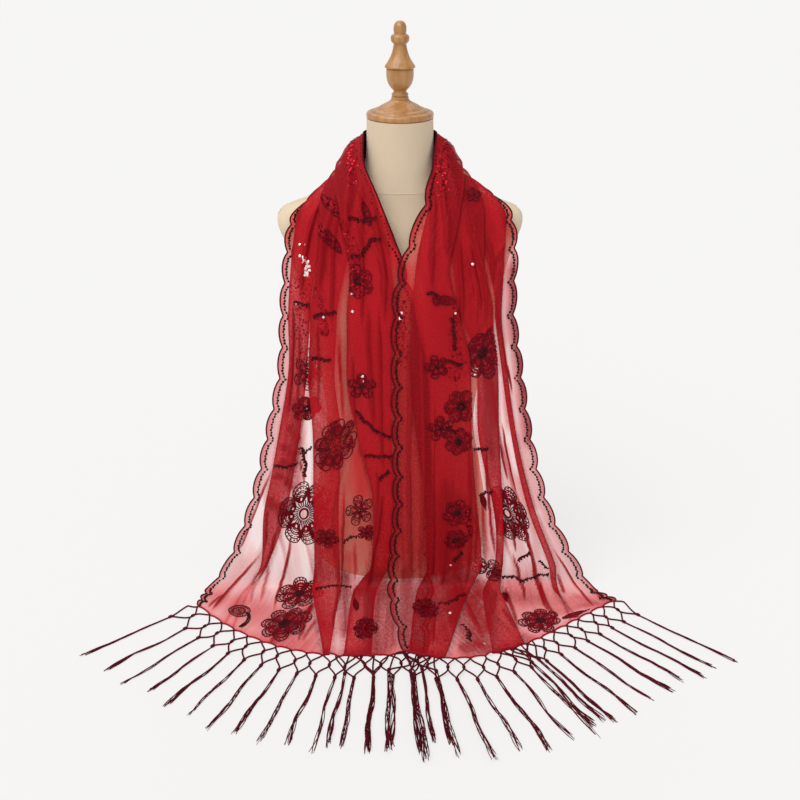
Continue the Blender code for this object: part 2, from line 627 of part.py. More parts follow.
def main():
    clear_scene()
    left = Half(LEFT_SECTIONS, LEFT_HEM, LEFT_PLEATS)
    right = Half(RIGHT_SECTIONS, RIGHT_HEM, RIGHT_PLEATS)
    print(f"half lengths {left.length:.3f} and {right.length:.3f} m")
    torso()
    turned("form_neck_cap", CAP_PROFILE)
    turned("form_finial", FINIAL_PROFILE)
    neck = np.linspace(NECK_CUT - SEAM / 2, -(NECK_CUT - SEAM / 2), NECK_ROWS)
    cloth_solid("stole_neck", neck, [-1 if s >= 0 else 1 for s in neck],
                [left if s >= 0 else right for s in neck])
    for name, half, side in (("stole_front_left", left, -1), ("stole_front_right", right, 1)):
        rows = front_rows(half)
        cloth_solid(name, rows, [side] * len(rows), [half] * len(rows))
    fringe("fringe_left", left, -1, LEFT_FAN, LEFT_TASSEL, 0.0)
    fringe("fringe_right", right, 1, RIGHT_FAN, RIGHT_TASSEL, CROSSING_RISE)


main()
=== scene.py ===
# %% [markdown]
# # An evening stole on a dress form
# The object is a long rectangle of very fine red mesh, half a metre wide and nearly two metres
# long, with scalloped long edges, sequinned flowers and a knotted fringe at each end. It goes
# round the neck of a limbless table-top dress form and its ends lie fanned out on the table.
#
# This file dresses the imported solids. The frame is loaded first and never changed: every piece
# below is made around it, in metres, with +Z up and the form's axis on the Z axis.

# %% Load the frame
import math

import bpy
import numpy as np
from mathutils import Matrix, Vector
from mathutils.bvhtree import BVHTree


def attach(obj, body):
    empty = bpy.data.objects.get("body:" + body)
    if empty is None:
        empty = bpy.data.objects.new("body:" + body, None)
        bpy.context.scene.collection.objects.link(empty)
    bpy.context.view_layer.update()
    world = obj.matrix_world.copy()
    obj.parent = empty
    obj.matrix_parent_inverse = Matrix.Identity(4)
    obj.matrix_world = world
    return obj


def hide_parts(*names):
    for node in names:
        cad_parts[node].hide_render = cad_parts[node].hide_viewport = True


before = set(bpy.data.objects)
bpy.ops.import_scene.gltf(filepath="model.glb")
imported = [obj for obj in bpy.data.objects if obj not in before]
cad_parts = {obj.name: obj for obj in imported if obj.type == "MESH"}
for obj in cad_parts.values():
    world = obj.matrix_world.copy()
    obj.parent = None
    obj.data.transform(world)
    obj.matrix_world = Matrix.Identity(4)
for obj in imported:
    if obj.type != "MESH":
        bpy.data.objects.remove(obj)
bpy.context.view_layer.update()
print("frame nodes:", ", ".join(sorted(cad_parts)))

# %% [markdown]
# ## The view
# The camera stands a metre and a half in front of the form's axis, a metre up, and looks down at
# it. The whole picture is table: the top edge of the frame still looks a little below the
# horizon. Colours are shown plainly, so a red keeps its strength.

# %% Camera
CAMERA_PLACE = (0.0, -1.5, 1.013)
CAMERA_DOWN = math.radians(25.9)
FRAME_SIDE = 800  # of the square picture, in pixels
FOCAL_PIXELS = 1013.0
SENSOR = 36.0
SHEER_LAYERS = 32  # that one line of sight may pass through

camera = bpy.data.objects.new("camera", bpy.data.cameras.new("camera"))
camera.location = CAMERA_PLACE
camera.rotation_euler = (math.pi / 2 - CAMERA_DOWN, 0.0, 0.0)
camera.data.sensor_width = SENSOR
camera.data.lens = FOCAL_PIXELS / FRAME_SIDE * SENSOR
bpy.context.scene.collection.objects.link(camera)
bpy.context.scene.camera = camera
bpy.context.scene.view_settings.view_transform = "Standard"
bpy.context.scene.cycles.transparent_max_bounces = SHEER_LAYERS
print(f"camera lens {camera.data.lens:.1f} mm, {math.degrees(CAMERA_DOWN):.1f} degrees down")


def sight_line(px, py):
    """Start and direction of the line of sight through a pixel of the square picture."""
    right = (px - FRAME_SIDE / 2) / FOCAL_PIXELS
    up = (FRAME_SIDE / 2 - py) / FOCAL_PIXELS
    c, s = math.cos(CAMERA_DOWN), math.sin(CAMERA_DOWN)
    return Vector(CAMERA_PLACE), Vector((right, c + up * s, up * c - s)).normalized()


# %% [markdown]
# ## Table, surroundings and lamps
# A sheer cloth is judged by what is seen through it, so the table and the air around it have one
# even pale tone. The table glows by most of that tone itself and takes the rest from the lamps,
# which leaves room for a soft shadow under the cloth. Three soft lamps, far off so that they fall
# evenly everywhere, stand to the left in front, in front and behind; the left one is the
# strongest, so the form and the folds still turn from light to shade.

# %% Stage and lights
PALE = (0.905, 0.898, 0.880, 1.0)
TABLE_GLOW = 0.710
TABLE_DIFFUSE = 0.22
TABLE_SIDE = 60.0
AIR_LIGHT = 0.67
LAMPS = {  # strength, angle it spans, degrees left of the camera, degrees up
    "key": (1.55, 45.0, 55.0, 55.0),
    "fill": (0.60, 46.0, 6.0, 42.0),
    "back": (0.55, 60.0, 172.0, 55.0),
}


def add_mesh(name, points, faces, smooth=True):
    """A mesh object at the origin, with its place in its mesh."""
    mesh = bpy.data.meshes.new(name)
    mesh.from_pydata([tuple(map(float, p)) for p in points], [], faces)
    if smooth:
        mesh.shade_smooth()
    made = bpy.data.objects.new(name, mesh)
    bpy.context.scene.collection.objects.link(made)
    return made


def plain_material(name, colour, roughness, **values):
    """A material with only its Principled BSDF set, and that shader."""
    made = bpy.data.materials.new(name)
    made.use_nodes = True
    shader = made.node_tree.nodes["Principled BSDF"]
    for key, value in {"Base_Color": colour, "Roughness": roughness, **values}.items():
        shader.inputs[key.replace("_", " ")].default_value = value
    return made, shader


rim = TABLE_SIDE / 2
table = add_mesh("table", [(-rim, -rim, 0), (rim, -rim, 0), (rim, rim, 0), (-rim, rim, 0)], [(0, 1, 2, 3)])
table_white, _ = plain_material("table_white", (TABLE_DIFFUSE,) * 3 + (1.0,), 1.0, Specular_IOR_Level=0.0,
                                Emission_Color=PALE, Emission_Strength=TABLE_GLOW)
table.data.materials.append(table_white)

world = bpy.data.worlds.new("studio air")
world.use_nodes = True
bpy.context.scene.world = world
nodes, links = world.node_tree.nodes, world.node_tree.links
seen, lit = nodes["Background"], nodes.new("ShaderNodeBackground")
seen.inputs["Color"].default_value = PALE
lit.inputs["Color"].default_value = PALE
lit.inputs["Strength"].default_value = AIR_LIGHT
rays, pick = nodes.new("ShaderNodeLightPath"), nodes.new("ShaderNodeMixShader")
links.new(rays.outputs["Is Camera Ray"], pick.inputs["Fac"])
links.new(lit.outputs[0], pick.inputs[1])
links.new(seen.outputs[0], pick.inputs[2])
links.new(pick.outputs[0], nodes["World Output"].inputs["Surface"])

for name, (strength, span, turn, up) in LAMPS.items():
    lamp = bpy.data.objects.new(name, bpy.data.lights.new(name, "SUN"))
    lamp.data.energy, lamp.data.angle = strength, math.radians(span)
    lamp.rotation_euler = (math.radians(90 - up), 0.0, -math.radians(turn))
    bpy.context.scene.collection.objects.link(lamp)
    print(f"lamp {name}: {strength:.2f} W/m2 over {span:.0f} degrees, {turn:.0f} left, {up:.0f} up")

# %% [markdown]
# ## Small tools for finishes
# Most finishes here are made of the same few things, so two of them are shader node groups. The
# first, *woven*, is a plain weave: warp and weft ridges on the piece's own coordinates, with a
# little unevenness, given out as a height for a Bump node and as a light-and-dark value. The
# second, *streaks*, is long soft noise, stretched one way: wood grain and drawn threads use it.
# A group gives out only values, and the Principled BSDF stays in each material.

# %% Shader node groups


def shader_group(name, inputs, outputs):
    """An empty shader node group with its sockets, and its two end nodes."""
    group = bpy.data.node_groups.new(name, "ShaderNodeTree")
    for label, (kind, value) in inputs.items():
        socket = group.interface.new_socket(label, in_out="INPUT", socket_type=kind)
        if value is not None:
            socket.default_value = value
    for label, kind in outputs.items():
        group.interface.new_socket(label, in_out="OUTPUT", socket_type=kind)
    return group, group.nodes.new("NodeGroupInput"), group.nodes.new("NodeGroupOutput")


def feed(tree, socket, value):
    """Links an output to the socket, or sets the socket to a plain value."""
    if hasattr(value, "is_output"):
        tree.links.new(value, socket)
    else:
        socket.default_value = value


def node(tree, kind, **settings):
    """A node; a setting with an input's name feeds that input, any other sets the node itself."""
    made = tree.nodes.new(kind)
    for key, value in settings.items():
        if hasattr(made, key):
            setattr(made, key, value)
        else:
            feed(tree, made.inputs[key.replace("_", " ")], value)
    return made


def maths(tree, operation, *values):
    """A Math node whose inputs are numbers or sockets."""
    made = node(tree, "ShaderNodeMath", operation=operation)
    for socket, value in zip(made.inputs, values):
        feed(tree, socket, value)
    return made.outputs[0]


def remap(tree, value, low, high, to_low, to_high):
    """A value carried over from one range to another, and held inside it."""
    return node(tree, "ShaderNodeMapRange", Value=value, From_Min=low, From_Max=high,
                To_Min=to_low, To_Max=to_high).outputs["Result"]


def blend(tree, factor, first, second):
    """A colour between two, which are colours or sockets."""
    made = node(tree, "ShaderNodeMix", data_type="RGBA")
    for socket, value in ((made.inputs[0], factor), (made.inputs[6], first), (made.inputs[7], second)):
        feed(tree, socket, value)
    return made.outputs[2]


def make_woven_group():
    """Height and tone of a plain weave whose threads run along the vector's X and Y."""
    group, start, end = shader_group(
        "woven", {"Vector": ("NodeSocketVector", None), "Threads per metre": ("NodeSocketFloat", 1000.0),
                  "Unevenness": ("NodeSocketFloat", 0.3)},
        {"Height": "NodeSocketFloat", "Tone": "NodeSocketFloat"})
    place, threads = start.outputs["Vector"], start.outputs["Threads per metre"]
    split = node(group, "ShaderNodeSeparateXYZ", Vector=place)
    turns = maths(group, "MULTIPLY", threads, 2 * math.pi)
    waves = [maths(group, "SINE", maths(group, "MULTIPLY", split.outputs[i], turns)) for i in (0, 1)]
    noise = node(group, "ShaderNodeTexNoise", Detail=3.0, Vector=place,
                 Scale=maths(group, "MULTIPLY", threads, 0.08))
    uneven = maths(group, "MULTIPLY", noise.outputs["Fac"], start.outputs["Unevenness"])
    weave = maths(group, "MULTIPLY", *waves)
    height = maths(group, "ADD", maths(group, "MULTIPLY", weave, 0.5), uneven)
    feed(group, end.inputs["Height"], height)
    feed(group, end.inputs["Tone"], remap(group, height, -0.5, 0.8, 0.0, 1.0))
    return group


def make_streaks_group():
    """Soft noise drawn out along the vector's own Z by its stretch."""
    group, start, end = shader_group(
        "streaks", {"Vector": ("NodeSocketVector", None), "Fineness": ("NodeSocketFloat", 100.0),
                    "Stretch": ("NodeSocketFloat", 20.0), "Bend": ("NodeSocketFloat", 0.2)},
        {"Value": "NodeSocketFloat"})
    split = node(group, "ShaderNodeSeparateXYZ", Vector=start.outputs["Vector"])
    short = maths(group, "DIVIDE", split.outputs[2], start.outputs["Stretch"])
    drawn = node(group, "ShaderNodeCombineXYZ", X=split.outputs[0], Y=split.outputs[1], Z=short)
    noise = node(group, "ShaderNodeTexNoise", Detail=4.0, Roughness=0.6, Vector=drawn.outputs[0],
                 Scale=start.outputs["Fineness"], Distortion=start.outputs["Bend"])
    feed(group, end.inputs["Value"], noise.outputs["Fac"])
    return group


WOVEN = make_woven_group()
STREAKS = make_streaks_group()


def use_group(tree, group, vector, **values):
    return node(tree, "ShaderNodeGroup", node_tree=group, Vector=vector, **values)


def bump(tree, height, shader, strength, distance):
    made = node(tree, "ShaderNodeBump", Strength=strength, Distance=distance, Height=height)
    feed(tree, shader.inputs["Normal"], made.outputs["Normal"])


print("node groups:", WOVEN.name, "and", STREAKS.name)

# %% [markdown]
# ## The form's body
# A table-top dress form is a hollow moulded torso, padded and covered tightly in unbleached
# linen. It could be sculpted, but its shape is a stack of level outlines between an ellipse and
# a rounded rectangle, so it is lofted from a short table, with the outlines between the rows
# taken from a smooth curve that never bulges past them. The weave follows the cloth round the
# body, so its pattern is read from a UV map in real lengths: one unit of it is two metres.

# %% Torso
FORM_LEVELS = [  # height, half width, front depth, back depth, squareness
    (0.000, 0.144, 0.102, 0.112, 2.2), (0.030, 0.147, 0.105, 0.116, 2.2),
    (0.080, 0.147, 0.105, 0.117, 2.2), (0.160, 0.136, 0.096, 0.104, 2.2),
    (0.250, 0.122, 0.086, 0.085, 2.2), (0.330, 0.129, 0.096, 0.082, 2.2),
    (0.400, 0.144, 0.108, 0.085, 2.3), (0.450, 0.154, 0.109, 0.087, 2.4),
    (0.505, 0.161, 0.096, 0.088, 2.6), (0.550, 0.172, 0.079, 0.086, 2.8),
    (0.592, 0.186, 0.062, 0.077, 3.0), (0.603, 0.183, 0.057, 0.072, 2.8),
    (0.614, 0.162, 0.053, 0.066, 2.4), (0.628, 0.122, 0.050, 0.060, 2.1),
    (0.643, 0.085, 0.049, 0.055, 2.0), (0.660, 0.060, 0.048, 0.051, 2.0),
    (0.690, 0.051, 0.048, 0.049, 2.0), (0.7397, 0.0495, 0.0495, 0.0495, 2.0),
]
NECK_TOP = FORM_LEVELS[-1][0]
TORSO_SIDES = 144
TORSO_RINGS = 110
RING_SPREAD = 0.9  # power that sets how the rings crowd towards the top and the base
CREASE_ANGLE = math.radians(50)  # past which two faces meet in a sharp edge
TORSO_INSET = 0.0012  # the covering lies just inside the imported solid
UV_METRES = 2.0  # one unit of every cloth's UV map


def gone_along(line):
    """The length gone along a line of points, at each of them."""
    return np.concatenate([[0.0], np.cumsum(np.linalg.norm(np.diff(line, axis=0), axis=1))])


def monotone(knots, values, at):
    """Smooth curve through the values that never overshoots them; values has a row for each knot."""
    knots, values = np.asarray(knots, float), np.asarray(values, float)
    step = np.diff(knots)
    shape = (len(step),) + (1,) * (values.ndim - 1)
    slope = np.diff(values, axis=0) / step.reshape(shape)
    product, total = slope[:-1] * slope[1:], slope[:-1] + slope[1:]
    inner = np.where(product > 0, 2 * product / np.where(total == 0, 1, total), 0.0)
    tangent = np.concatenate([slope[:1], inner, slope[-1:]])
    i = int(np.clip(np.searchsorted(knots, at) - 1, 0, len(step) - 1))
    h = step[i]
    u = (at - knots[i]) / h
    return (values[i] * (2 * u ** 3 - 3 * u ** 2 + 1) + tangent[i] * h * (u ** 3 - 2 * u ** 2 + u)
            + values[i + 1] * (3 * u ** 2 - 2 * u ** 3) + tangent[i + 1] * h * (u ** 3 - u ** 2))


def torso_ring(height, sides=TORSO_SIDES):
    """Points round the body at a height, starting at the middle of the back."""
    half_width, front, back, square = monotone([row[0] for row in FORM_LEVELS],
                                               [row[1:] for row in FORM_LEVELS], height)
    angle = 2 * np.pi * np.arange(sides) / sides + np.pi / 2
    c, s = np.cos(angle), np.sin(angle)
    x = (half_width - TORSO_INSET) * np.sign(c) * np.abs(c) ** (2 / square)
    depth = np.where(s < 0, front, back) - TORSO_INSET
    return np.stack([x, depth * np.sign(s) * np.abs(s) ** (2 / square), np.full(sides, height)], 1)


def tube_faces(rings, sides, closed_ends=True):
    """Quads between rings of points, with the two ends filled."""
    faces = []
    if closed_ends:
        faces = [list(range(sides))[::-1], [(rings - 1) * sides + k for k in range(sides)]]
    for r in range(rings - 1):
        for k in range(sides):
            after = (k + 1) % sides
            faces.append([r * sides + k, r * sides + after, (r + 1) * sides + after, (r + 1) * sides + k])
    return faces


def set_uv(mesh, name, coordinates):
    """A UV map from one coordinate pair for each corner of each face."""
    layer = mesh.uv_layers.new(name=name)
    layer.data.foreach_set("uv", np.asarray(coordinates, np.float32).ravel())


heights = [NECK_TOP * (0.5 - 0.5 * math.cos(math.pi * r / (TORSO_RINGS - 1))) ** RING_SPREAD
           for r in range(TORSO_RINGS)]
rings = [torso_ring(h) for h in heights]
torso = add_mesh("form_torso_linen", np.concatenate(rings), tube_faces(TORSO_RINGS, TORSO_SIDES))
torso.data.set_sharp_from_angle(angle=CREASE_ANGLE)
around = [gone_along(np.vstack([r, r[:1]])) for r in rings]
pairs = []
for polygon in torso.data.polygons:
    corners = [divmod(vertex, TORSO_SIDES) for vertex in polygon.vertices]
    at_end = len(corners) == 4 and any(k == TORSO_SIDES - 1 for _, k in corners)
    for level, k in corners:
        gone = around[level][TORSO_SIDES if at_end and k == 0 else k] - around[level][-1] / 2
        pairs.append(((gone + UV_METRES / 4) / UV_METRES, heights[level] / UV_METRES))
set_uv(torso.data, "cloth", pairs)
print(f"torso: {len(torso.data.polygons)} faces, {around[0][-1]:.3f} m round at the base, "
      f"{around[-1][-1]:.3f} m round the neck")

# %% Linen
LINEN = (0.70, 0.565, 0.41, 1.0)
LINEN_SHADE = (0.60, 0.465, 0.32, 1.0)
LINEN_THREADS = 1400.0  # to a metre


def make_linen():
    made, shader = plain_material("linen", LINEN, 0.9, Sheen_Weight=0.15)
    tree = made.node_tree
    cut = node(tree, "ShaderNodeUVMap", uv_map="cloth").outputs[0]
    weave = use_group(tree, WOVEN, cut, Threads_per_metre=LINEN_THREADS * UV_METRES, Unevenness=0.5)
    broad = node(tree, "ShaderNodeTexNoise", Vector=cut, Scale=16.0, Detail=3.0)
    tone = maths(tree, "ADD", maths(tree, "MULTIPLY", weave.outputs["Tone"], 0.55),
                 maths(tree, "MULTIPLY", broad.outputs["Fac"], 0.45))
    feed(tree, shader.inputs["Base Color"], blend(tree, tone, LINEN_SHADE, LINEN))
    bump(tree, weave.outputs["Height"], shader, 0.35, 0.0004)
    return made


linen = make_linen()
torso.data.materials.append(linen)
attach(torso, "root")
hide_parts("form_torso")

# %% [markdown]
# The covering is cut in four pieces. Its seams, round the foot of the neck, down both sides and
# down the back, are fine rolls of linen half sunk in the surface.

# %% Seams of the covering
SEAM_RADIUS = 0.0007
SEAM_SIDES = 6
SEAM_POINTS = 90  # along an upright seam
SEAM_SPAN = (0.002, 0.634)  # heights between which the upright seams run
NECK_SEAM = 0.640  # height


def unit(ways):
    """The same directions, one to a row, each of length 1."""
    return ways / np.linalg.norm(ways, axis=1)[:, None]


def tube(line, radius, closed=False):
    """Points and faces of a thin tube along a line of points."""
    line = np.asarray(line)
    round_on = np.roll(line, -1, axis=0) - np.roll(line, 1, axis=0)
    ahead = unit(round_on if closed else np.gradient(line, axis=0))
    upright = np.abs(ahead[:, 2:]) > 0.6
    side = unit(np.cross(ahead, np.where(upright, [[1.0, 0.3, 0.0]], [[0.0, 0.0, 1.0]])))
    up = np.cross(side, ahead)
    angle = 2 * np.pi * np.arange(SEAM_SIDES) / SEAM_SIDES
    points = [p + radius * (s * math.cos(a) + u * math.sin(a))
              for p, s, u in zip(line, side, up) for a in angle]
    faces = tube_faces(len(line), SEAM_SIDES, closed_ends=not closed)
    if closed:
        last = (len(line) - 1) * SEAM_SIDES
        faces += [[last + k, last + (k + 1) % SEAM_SIDES, (k + 1) % SEAM_SIDES, k]
                  for k in range(SEAM_SIDES)]
    return points, faces


seams = [tube(torso_ring(NECK_SEAM), SEAM_RADIUS, closed=True)]
for k in (0, TORSO_SIDES // 4, 3 * TORSO_SIDES // 4):
    seams.append(tube([torso_ring(z)[k] for z in np.linspace(*SEAM_SPAN, SEAM_POINTS)], SEAM_RADIUS))
seam_points, seam_faces = [], []
for points, faces in seams:
    seam_faces += [[v + len(seam_points) for v in face] for face in faces]
    seam_points += points
form_seams = add_mesh("form_seams", seam_points, seam_faces)
form_seams.data.materials.append(linen)
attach(form_seams, "root")
print(f"seams: {len(seam_faces)} faces")

# %% [markdown]
# ## Turned wood
# The neck is closed by a turned cap, and a finial screws into it. On the real form both come off
# a lathe, so here each is a profile swept round the axis. The profile's points are only the
# beads, coves and fine grooves that the turner cut; a smooth curve joins them. The grain runs
# along the axis on the finial and is drawn out by the *streaks* group, under a thin varnish.

# %% Cap and finial
CAP_PROFILE = [  # radius, height
    (0.0470, 0.7400), (0.0486, 0.7412), (0.0490, 0.7432), (0.0489, 0.7452), (0.0480, 0.7474),
    (0.0462, 0.7488), (0.0440, 0.7494), (0.0420, 0.7492), (0.0412, 0.7485), (0.0404, 0.7494),
    (0.0390, 0.7508), (0.0368, 0.7522), (0.0345, 0.7530), (0.0335, 0.7526), (0.0326, 0.7534),
    (0.0290, 0.7562), (0.0245, 0.7586), (0.0205, 0.7606), (0.0170, 0.7624), (0.0148, 0.7640),
    (0.0136, 0.7652), (0.0128, 0.7660),
]
FINIAL_PROFILE = [
    (0.0126, 0.7663), (0.0126, 0.7690), (0.0108, 0.7700), (0.0120, 0.7712), (0.0120, 0.7738),
    (0.0100, 0.7752), (0.0092, 0.7772), (0.0138, 0.7825), (0.0178, 0.7894), (0.0194, 0.7960),
    (0.0197, 0.8030), (0.0196, 0.8070), (0.0188, 0.8079), (0.0206, 0.8090), (0.0220, 0.8106),
    (0.0214, 0.8121), (0.0196, 0.8145), (0.0172, 0.8180), (0.0134, 0.8249), (0.0106, 0.8330),
    (0.0092, 0.8395), (0.0089, 0.8410), (0.0104, 0.8425), (0.0126, 0.8452), (0.0133, 0.8488),
    (0.0126, 0.8520), (0.0100, 0.8542), (0.0084, 0.8553), (0.0089, 0.8572), (0.0092, 0.8610),
    (0.0088, 0.8650), (0.0070, 0.8690), (0.0040, 0.8716), (0.0004, 0.8724),
]
TURNED_SIDES = 96
TURNED_STEPS = 3  # between two points of the profile
TURNED_ANGLE = math.radians(60)  # past which a turned edge stays sharp
WOOD_LIGHT = (0.50, 0.250, 0.078, 1.0)
WOOD_DARK = (0.29, 0.115, 0.030, 1.0)


def turned(name, profile):
    """A closed turned solid, with a smooth curve through the profile's points."""
    profile = np.array(profile)
    gone = gone_along(profile)
    fine = [monotone(gone, profile, gone[i] + (gone[i + 1] - gone[i]) * k / TURNED_STEPS)
            for i in range(len(gone) - 1) for k in range(TURNED_STEPS)] + [profile[-1]]
    angle = 2 * np.pi * np.arange(TURNED_SIDES) / TURNED_SIDES
    points = [(r * c, r * s, z) for r, z in fine for c, s in zip(np.cos(angle), np.sin(angle))]
    made = add_mesh(name, points, tube_faces(len(fine), TURNED_SIDES))
    made.data.set_sharp_from_angle(angle=TURNED_ANGLE)
    return made


def make_wood():
    made, shader = plain_material("turned_wood", WOOD_LIGHT, 0.34, Coat_Weight=0.35, Coat_Roughness=0.2)
    tree = made.node_tree
    place = node(tree, "ShaderNodeTexCoord").outputs["Object"]
    coarse = use_group(tree, STREAKS, place, Fineness=110.0, Stretch=9.0, Bend=0.6)
    fine = use_group(tree, STREAKS, place, Fineness=900.0, Stretch=40.0, Bend=0.1)
    grain = maths(tree, "ADD", maths(tree, "MULTIPLY", coarse.outputs[0], 0.7),
                  maths(tree, "MULTIPLY", fine.outputs[0], 0.3))
    feed(tree, shader.inputs["Base Color"],
         blend(tree, remap(tree, grain, 0.33, 0.66, 0.0, 1.0), WOOD_DARK, WOOD_LIGHT))
    feed(tree, shader.inputs["Roughness"], remap(tree, grain, 0.3, 0.7, 0.42, 0.28))
    bump(tree, grain, shader, 0.12, 0.0004)
    return made


wood = make_wood()
for name, profile, solid in (("form_cap_turned", CAP_PROFILE, "form_neck_cap"),
                             ("form_finial_turned", FINIAL_PROFILE, "form_finial")):
    piece = turned(name, profile)
    piece.data.materials.append(wood)
    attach(piece, "root")
    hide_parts(solid)
    print(f"{name}: {len(piece.data.polygons)} faces, {2000 * max(r for r, _ in profile):.0f} mm across")

# %% [markdown]
# ## How the stole lies
# The cloth is one rectangle. Round the neck it is gathered into seven layers; over the chest and
# down the front it opens out, and on the table it lies nearly flat. A simulation would drape it
# in some other way each time the sizes change, so its lie is written down instead: sections
# across the stole from the nape to each hem, each with four points, and at each section the
# places of three pleats. Smooth curves join the sections.

# %% Sections
SCALLOP_PITCH = 0.051  # one scallop of the long edges
SCALLOP_RISE = 0.0065  # from notch to crown
BEND_RADIUS = 0.015  # where the hanging cloth turns onto the table
CLOTH_REST = 0.0005  # above the table
RAMP = 0.020  # over which a layer climbs onto its pleat
MID_TILT = 0.15  # lean of a pleat's hidden middle layer, in layers
OPENED = 0.04  # share of the panel over which a pleat flattens out
PINCH_END = 0.40  # share of the width over which layers pinched at the inner edge part
LIFT_FADE = (0.22, 0.60)  # shares of the width between which a panel's lift dies away
COLLAR_DEPTH, COLLAR_SIDE, COLLAR_FALL = 0.033, 0.06, 0.1

FRONT_LEVELS = [  # height, depth in front of the axis, how the curtain curves back
    (0.000, 0.1220, 0.06), (0.045, 0.1215, 0.06), (0.160, 0.1200, 0.21), (0.280, 0.1175, 0.49),
    (0.395, 0.1140, 0.97), (0.450, 0.1128, 1.08), (0.505, 0.1010, 1.08), (0.555, 0.0860, 0.92),
    (0.600, 0.0700, 0.88), (0.640, 0.0570, 0.88),
]
NECK_SECTIONS = {  # x away from the middle, y, z, from the inner to the outer edge
    "nape": ((0.000, 0.0520, 0.712), (0.000, 0.0545, 0.684),
             (0.000, 0.0595, 0.656), (0.000, 0.067, 0.630)),
    "nape side": ((0.0361, 0.0381, 0.716), (0.042, 0.041, 0.689),
                  (0.053, 0.045, 0.663), (0.075, 0.049, 0.641)),
    "neck side": ((0.0520, 0.002, 0.717), (0.062, 0.002, 0.694),
                  (0.075, 0.001, 0.667), (0.104, -0.001, 0.647)),
}
LEFT_SECTIONS = {  # x, z; the curtain gives y
    "collar": ((0.0500, 0.688), (0.067, 0.664), (0.097, 0.645), (0.137, 0.626)),
    "upper chest": ((0.0310, 0.636), (0.071, 0.620), (0.116, 0.606), (0.162, 0.598)),
    "chest": ((0.0000, 0.560), (0.057, 0.552), (0.115, 0.543), (0.1705, 0.545)),
    "bust": ((-0.0240, 0.480), (0.045, 0.473), (0.114, 0.468), (0.178, 0.470)),
    "ribs": ((-0.0410, 0.395), (0.040, 0.390), (0.118, 0.387), (0.184, 0.388)),
    "waist": ((-0.0470, 0.280), (0.042, 0.280), (0.130, 0.280), (0.207, 0.280)),
    "hip": ((-0.0520, 0.160), (0.050, 0.160), (0.149, 0.160), (0.238, 0.160)),
    "low": ((-0.0530, 0.045), (0.063, 0.045), (0.176, 0.045), (0.284, 0.045)),
    "touch": ((-0.0520, 0.0), (0.074, 0.0), (0.200, 0.0), (0.318, 0.0)),
}
RIGHT_SECTIONS = {
    "collar": ((0.0440, 0.682), (0.061, 0.661), (0.095, 0.646), (0.137, 0.634)),
    "upper chest": ((0.0350, 0.634), (0.073, 0.620), (0.118, 0.609), (0.165, 0.605)),
    "chest": ((0.0040, 0.553), (0.059, 0.548), (0.116, 0.544), (0.172, 0.548)),
    "bust": ((-0.0090, 0.490), (0.051, 0.480), (0.111, 0.476), (0.1715, 0.480)),
    "ribs": ((-0.0104, 0.405), (0.055, 0.402), (0.119, 0.400), (0.1825, 0.402)),
    "waist": ((-0.0095, 0.280), (0.062, 0.280), (0.133, 0.280), (0.2035, 0.280)),
    "hip": ((-0.0090, 0.160), (0.072, 0.160), (0.153, 0.160), (0.235, 0.160)),
    "low": ((-0.0170, 0.045), (0.085, 0.045), (0.188, 0.045), (0.290, 0.045)),
    "touch": ((-0.0180, 0.0), (0.094, 0.0), (0.206, 0.0), (0.320, 0.0)),
}
BEND_TURNS = ((0, 0.56), (45, 0.78), (90, 1.0))  # degrees, share of the way from "low" to "touch"
LEFT_HEM = ((-0.041, -0.284), (0.090, -0.296), (0.212, -0.262), (0.327, -0.171))
RIGHT_HEM = ((0.0045, -0.288), (0.1265, -0.297), (0.239, -0.238), (0.350, -0.159))

# %% Pleats
# Inner and outer fold of three pleats as shares of the width, then the rise of a layer, how far
# layers settle back beyond a pleat, the panel's lift, and the pinch at the inner edge.
NECK_PLEATS = {
    "nape": ((0.05, 0.80), (0.10, 0.88), (0.16, 0.95), 0.0030, 0.0, 0.0, 0.92),
    "nape side": ((0.05, 0.78), (0.11, 0.87), (0.18, 0.95), 0.0030, 0.0, 0.0, 0.92),
    "neck side": ((0.05, 0.66), (0.14, 0.79), (0.25, 0.94), 0.0030, 0.0, 0.0, 0.90),
}
LEFT_PLEATS = {
    "collar": ((0.04, 0.58), (0.17, 0.74), (0.32, 0.92), 0.0030, 0.0, 0.0, 0.75),
    "upper chest": ((0.06, 0.44), (0.30, 0.66), (0.56, 0.92), 0.0027, 0.1, 0.0, 0.30),
    "chest": ((0.09, 0.42), (0.45, 0.69), (0.71, 0.93), 0.0026, 0.7, 0.0, 0.0),
    "bust": ((0.16, 0.49), (0.565, 0.75), (0.765, 0.93), 0.0028, 1.0, 0.0, 0.0),
    "ribs": ((0.22, 0.50), (0.58, 0.75), (0.772, 0.908), 0.0028, 1.0, 0.0, 0.0),
    "waist": ((0.225, 0.42), (0.515, 0.685), (0.768, 0.908), 0.0028, 1.0, 0.0, 0.0),
    "hip": ((0.20, 0.31), (0.49, 0.628), (0.77, 0.905), 0.0026, 1.0, 0.0, 0.0),
    "low": ((0.20, 0.29), (0.437, 0.560), (0.79, 0.825), 0.0022, 1.0, 0.0, 0.0),
    "touch": ((0.24, 0.34), (0.400, 0.520), (0.82, 0.80), 0.0018, 1.0, 0.0, 0.0),
    "hem": ((0.21, 0.32), (0.376, 0.402), (0.85, 0.81), 0.0016, 1.0, 0.0, 0.0),
}
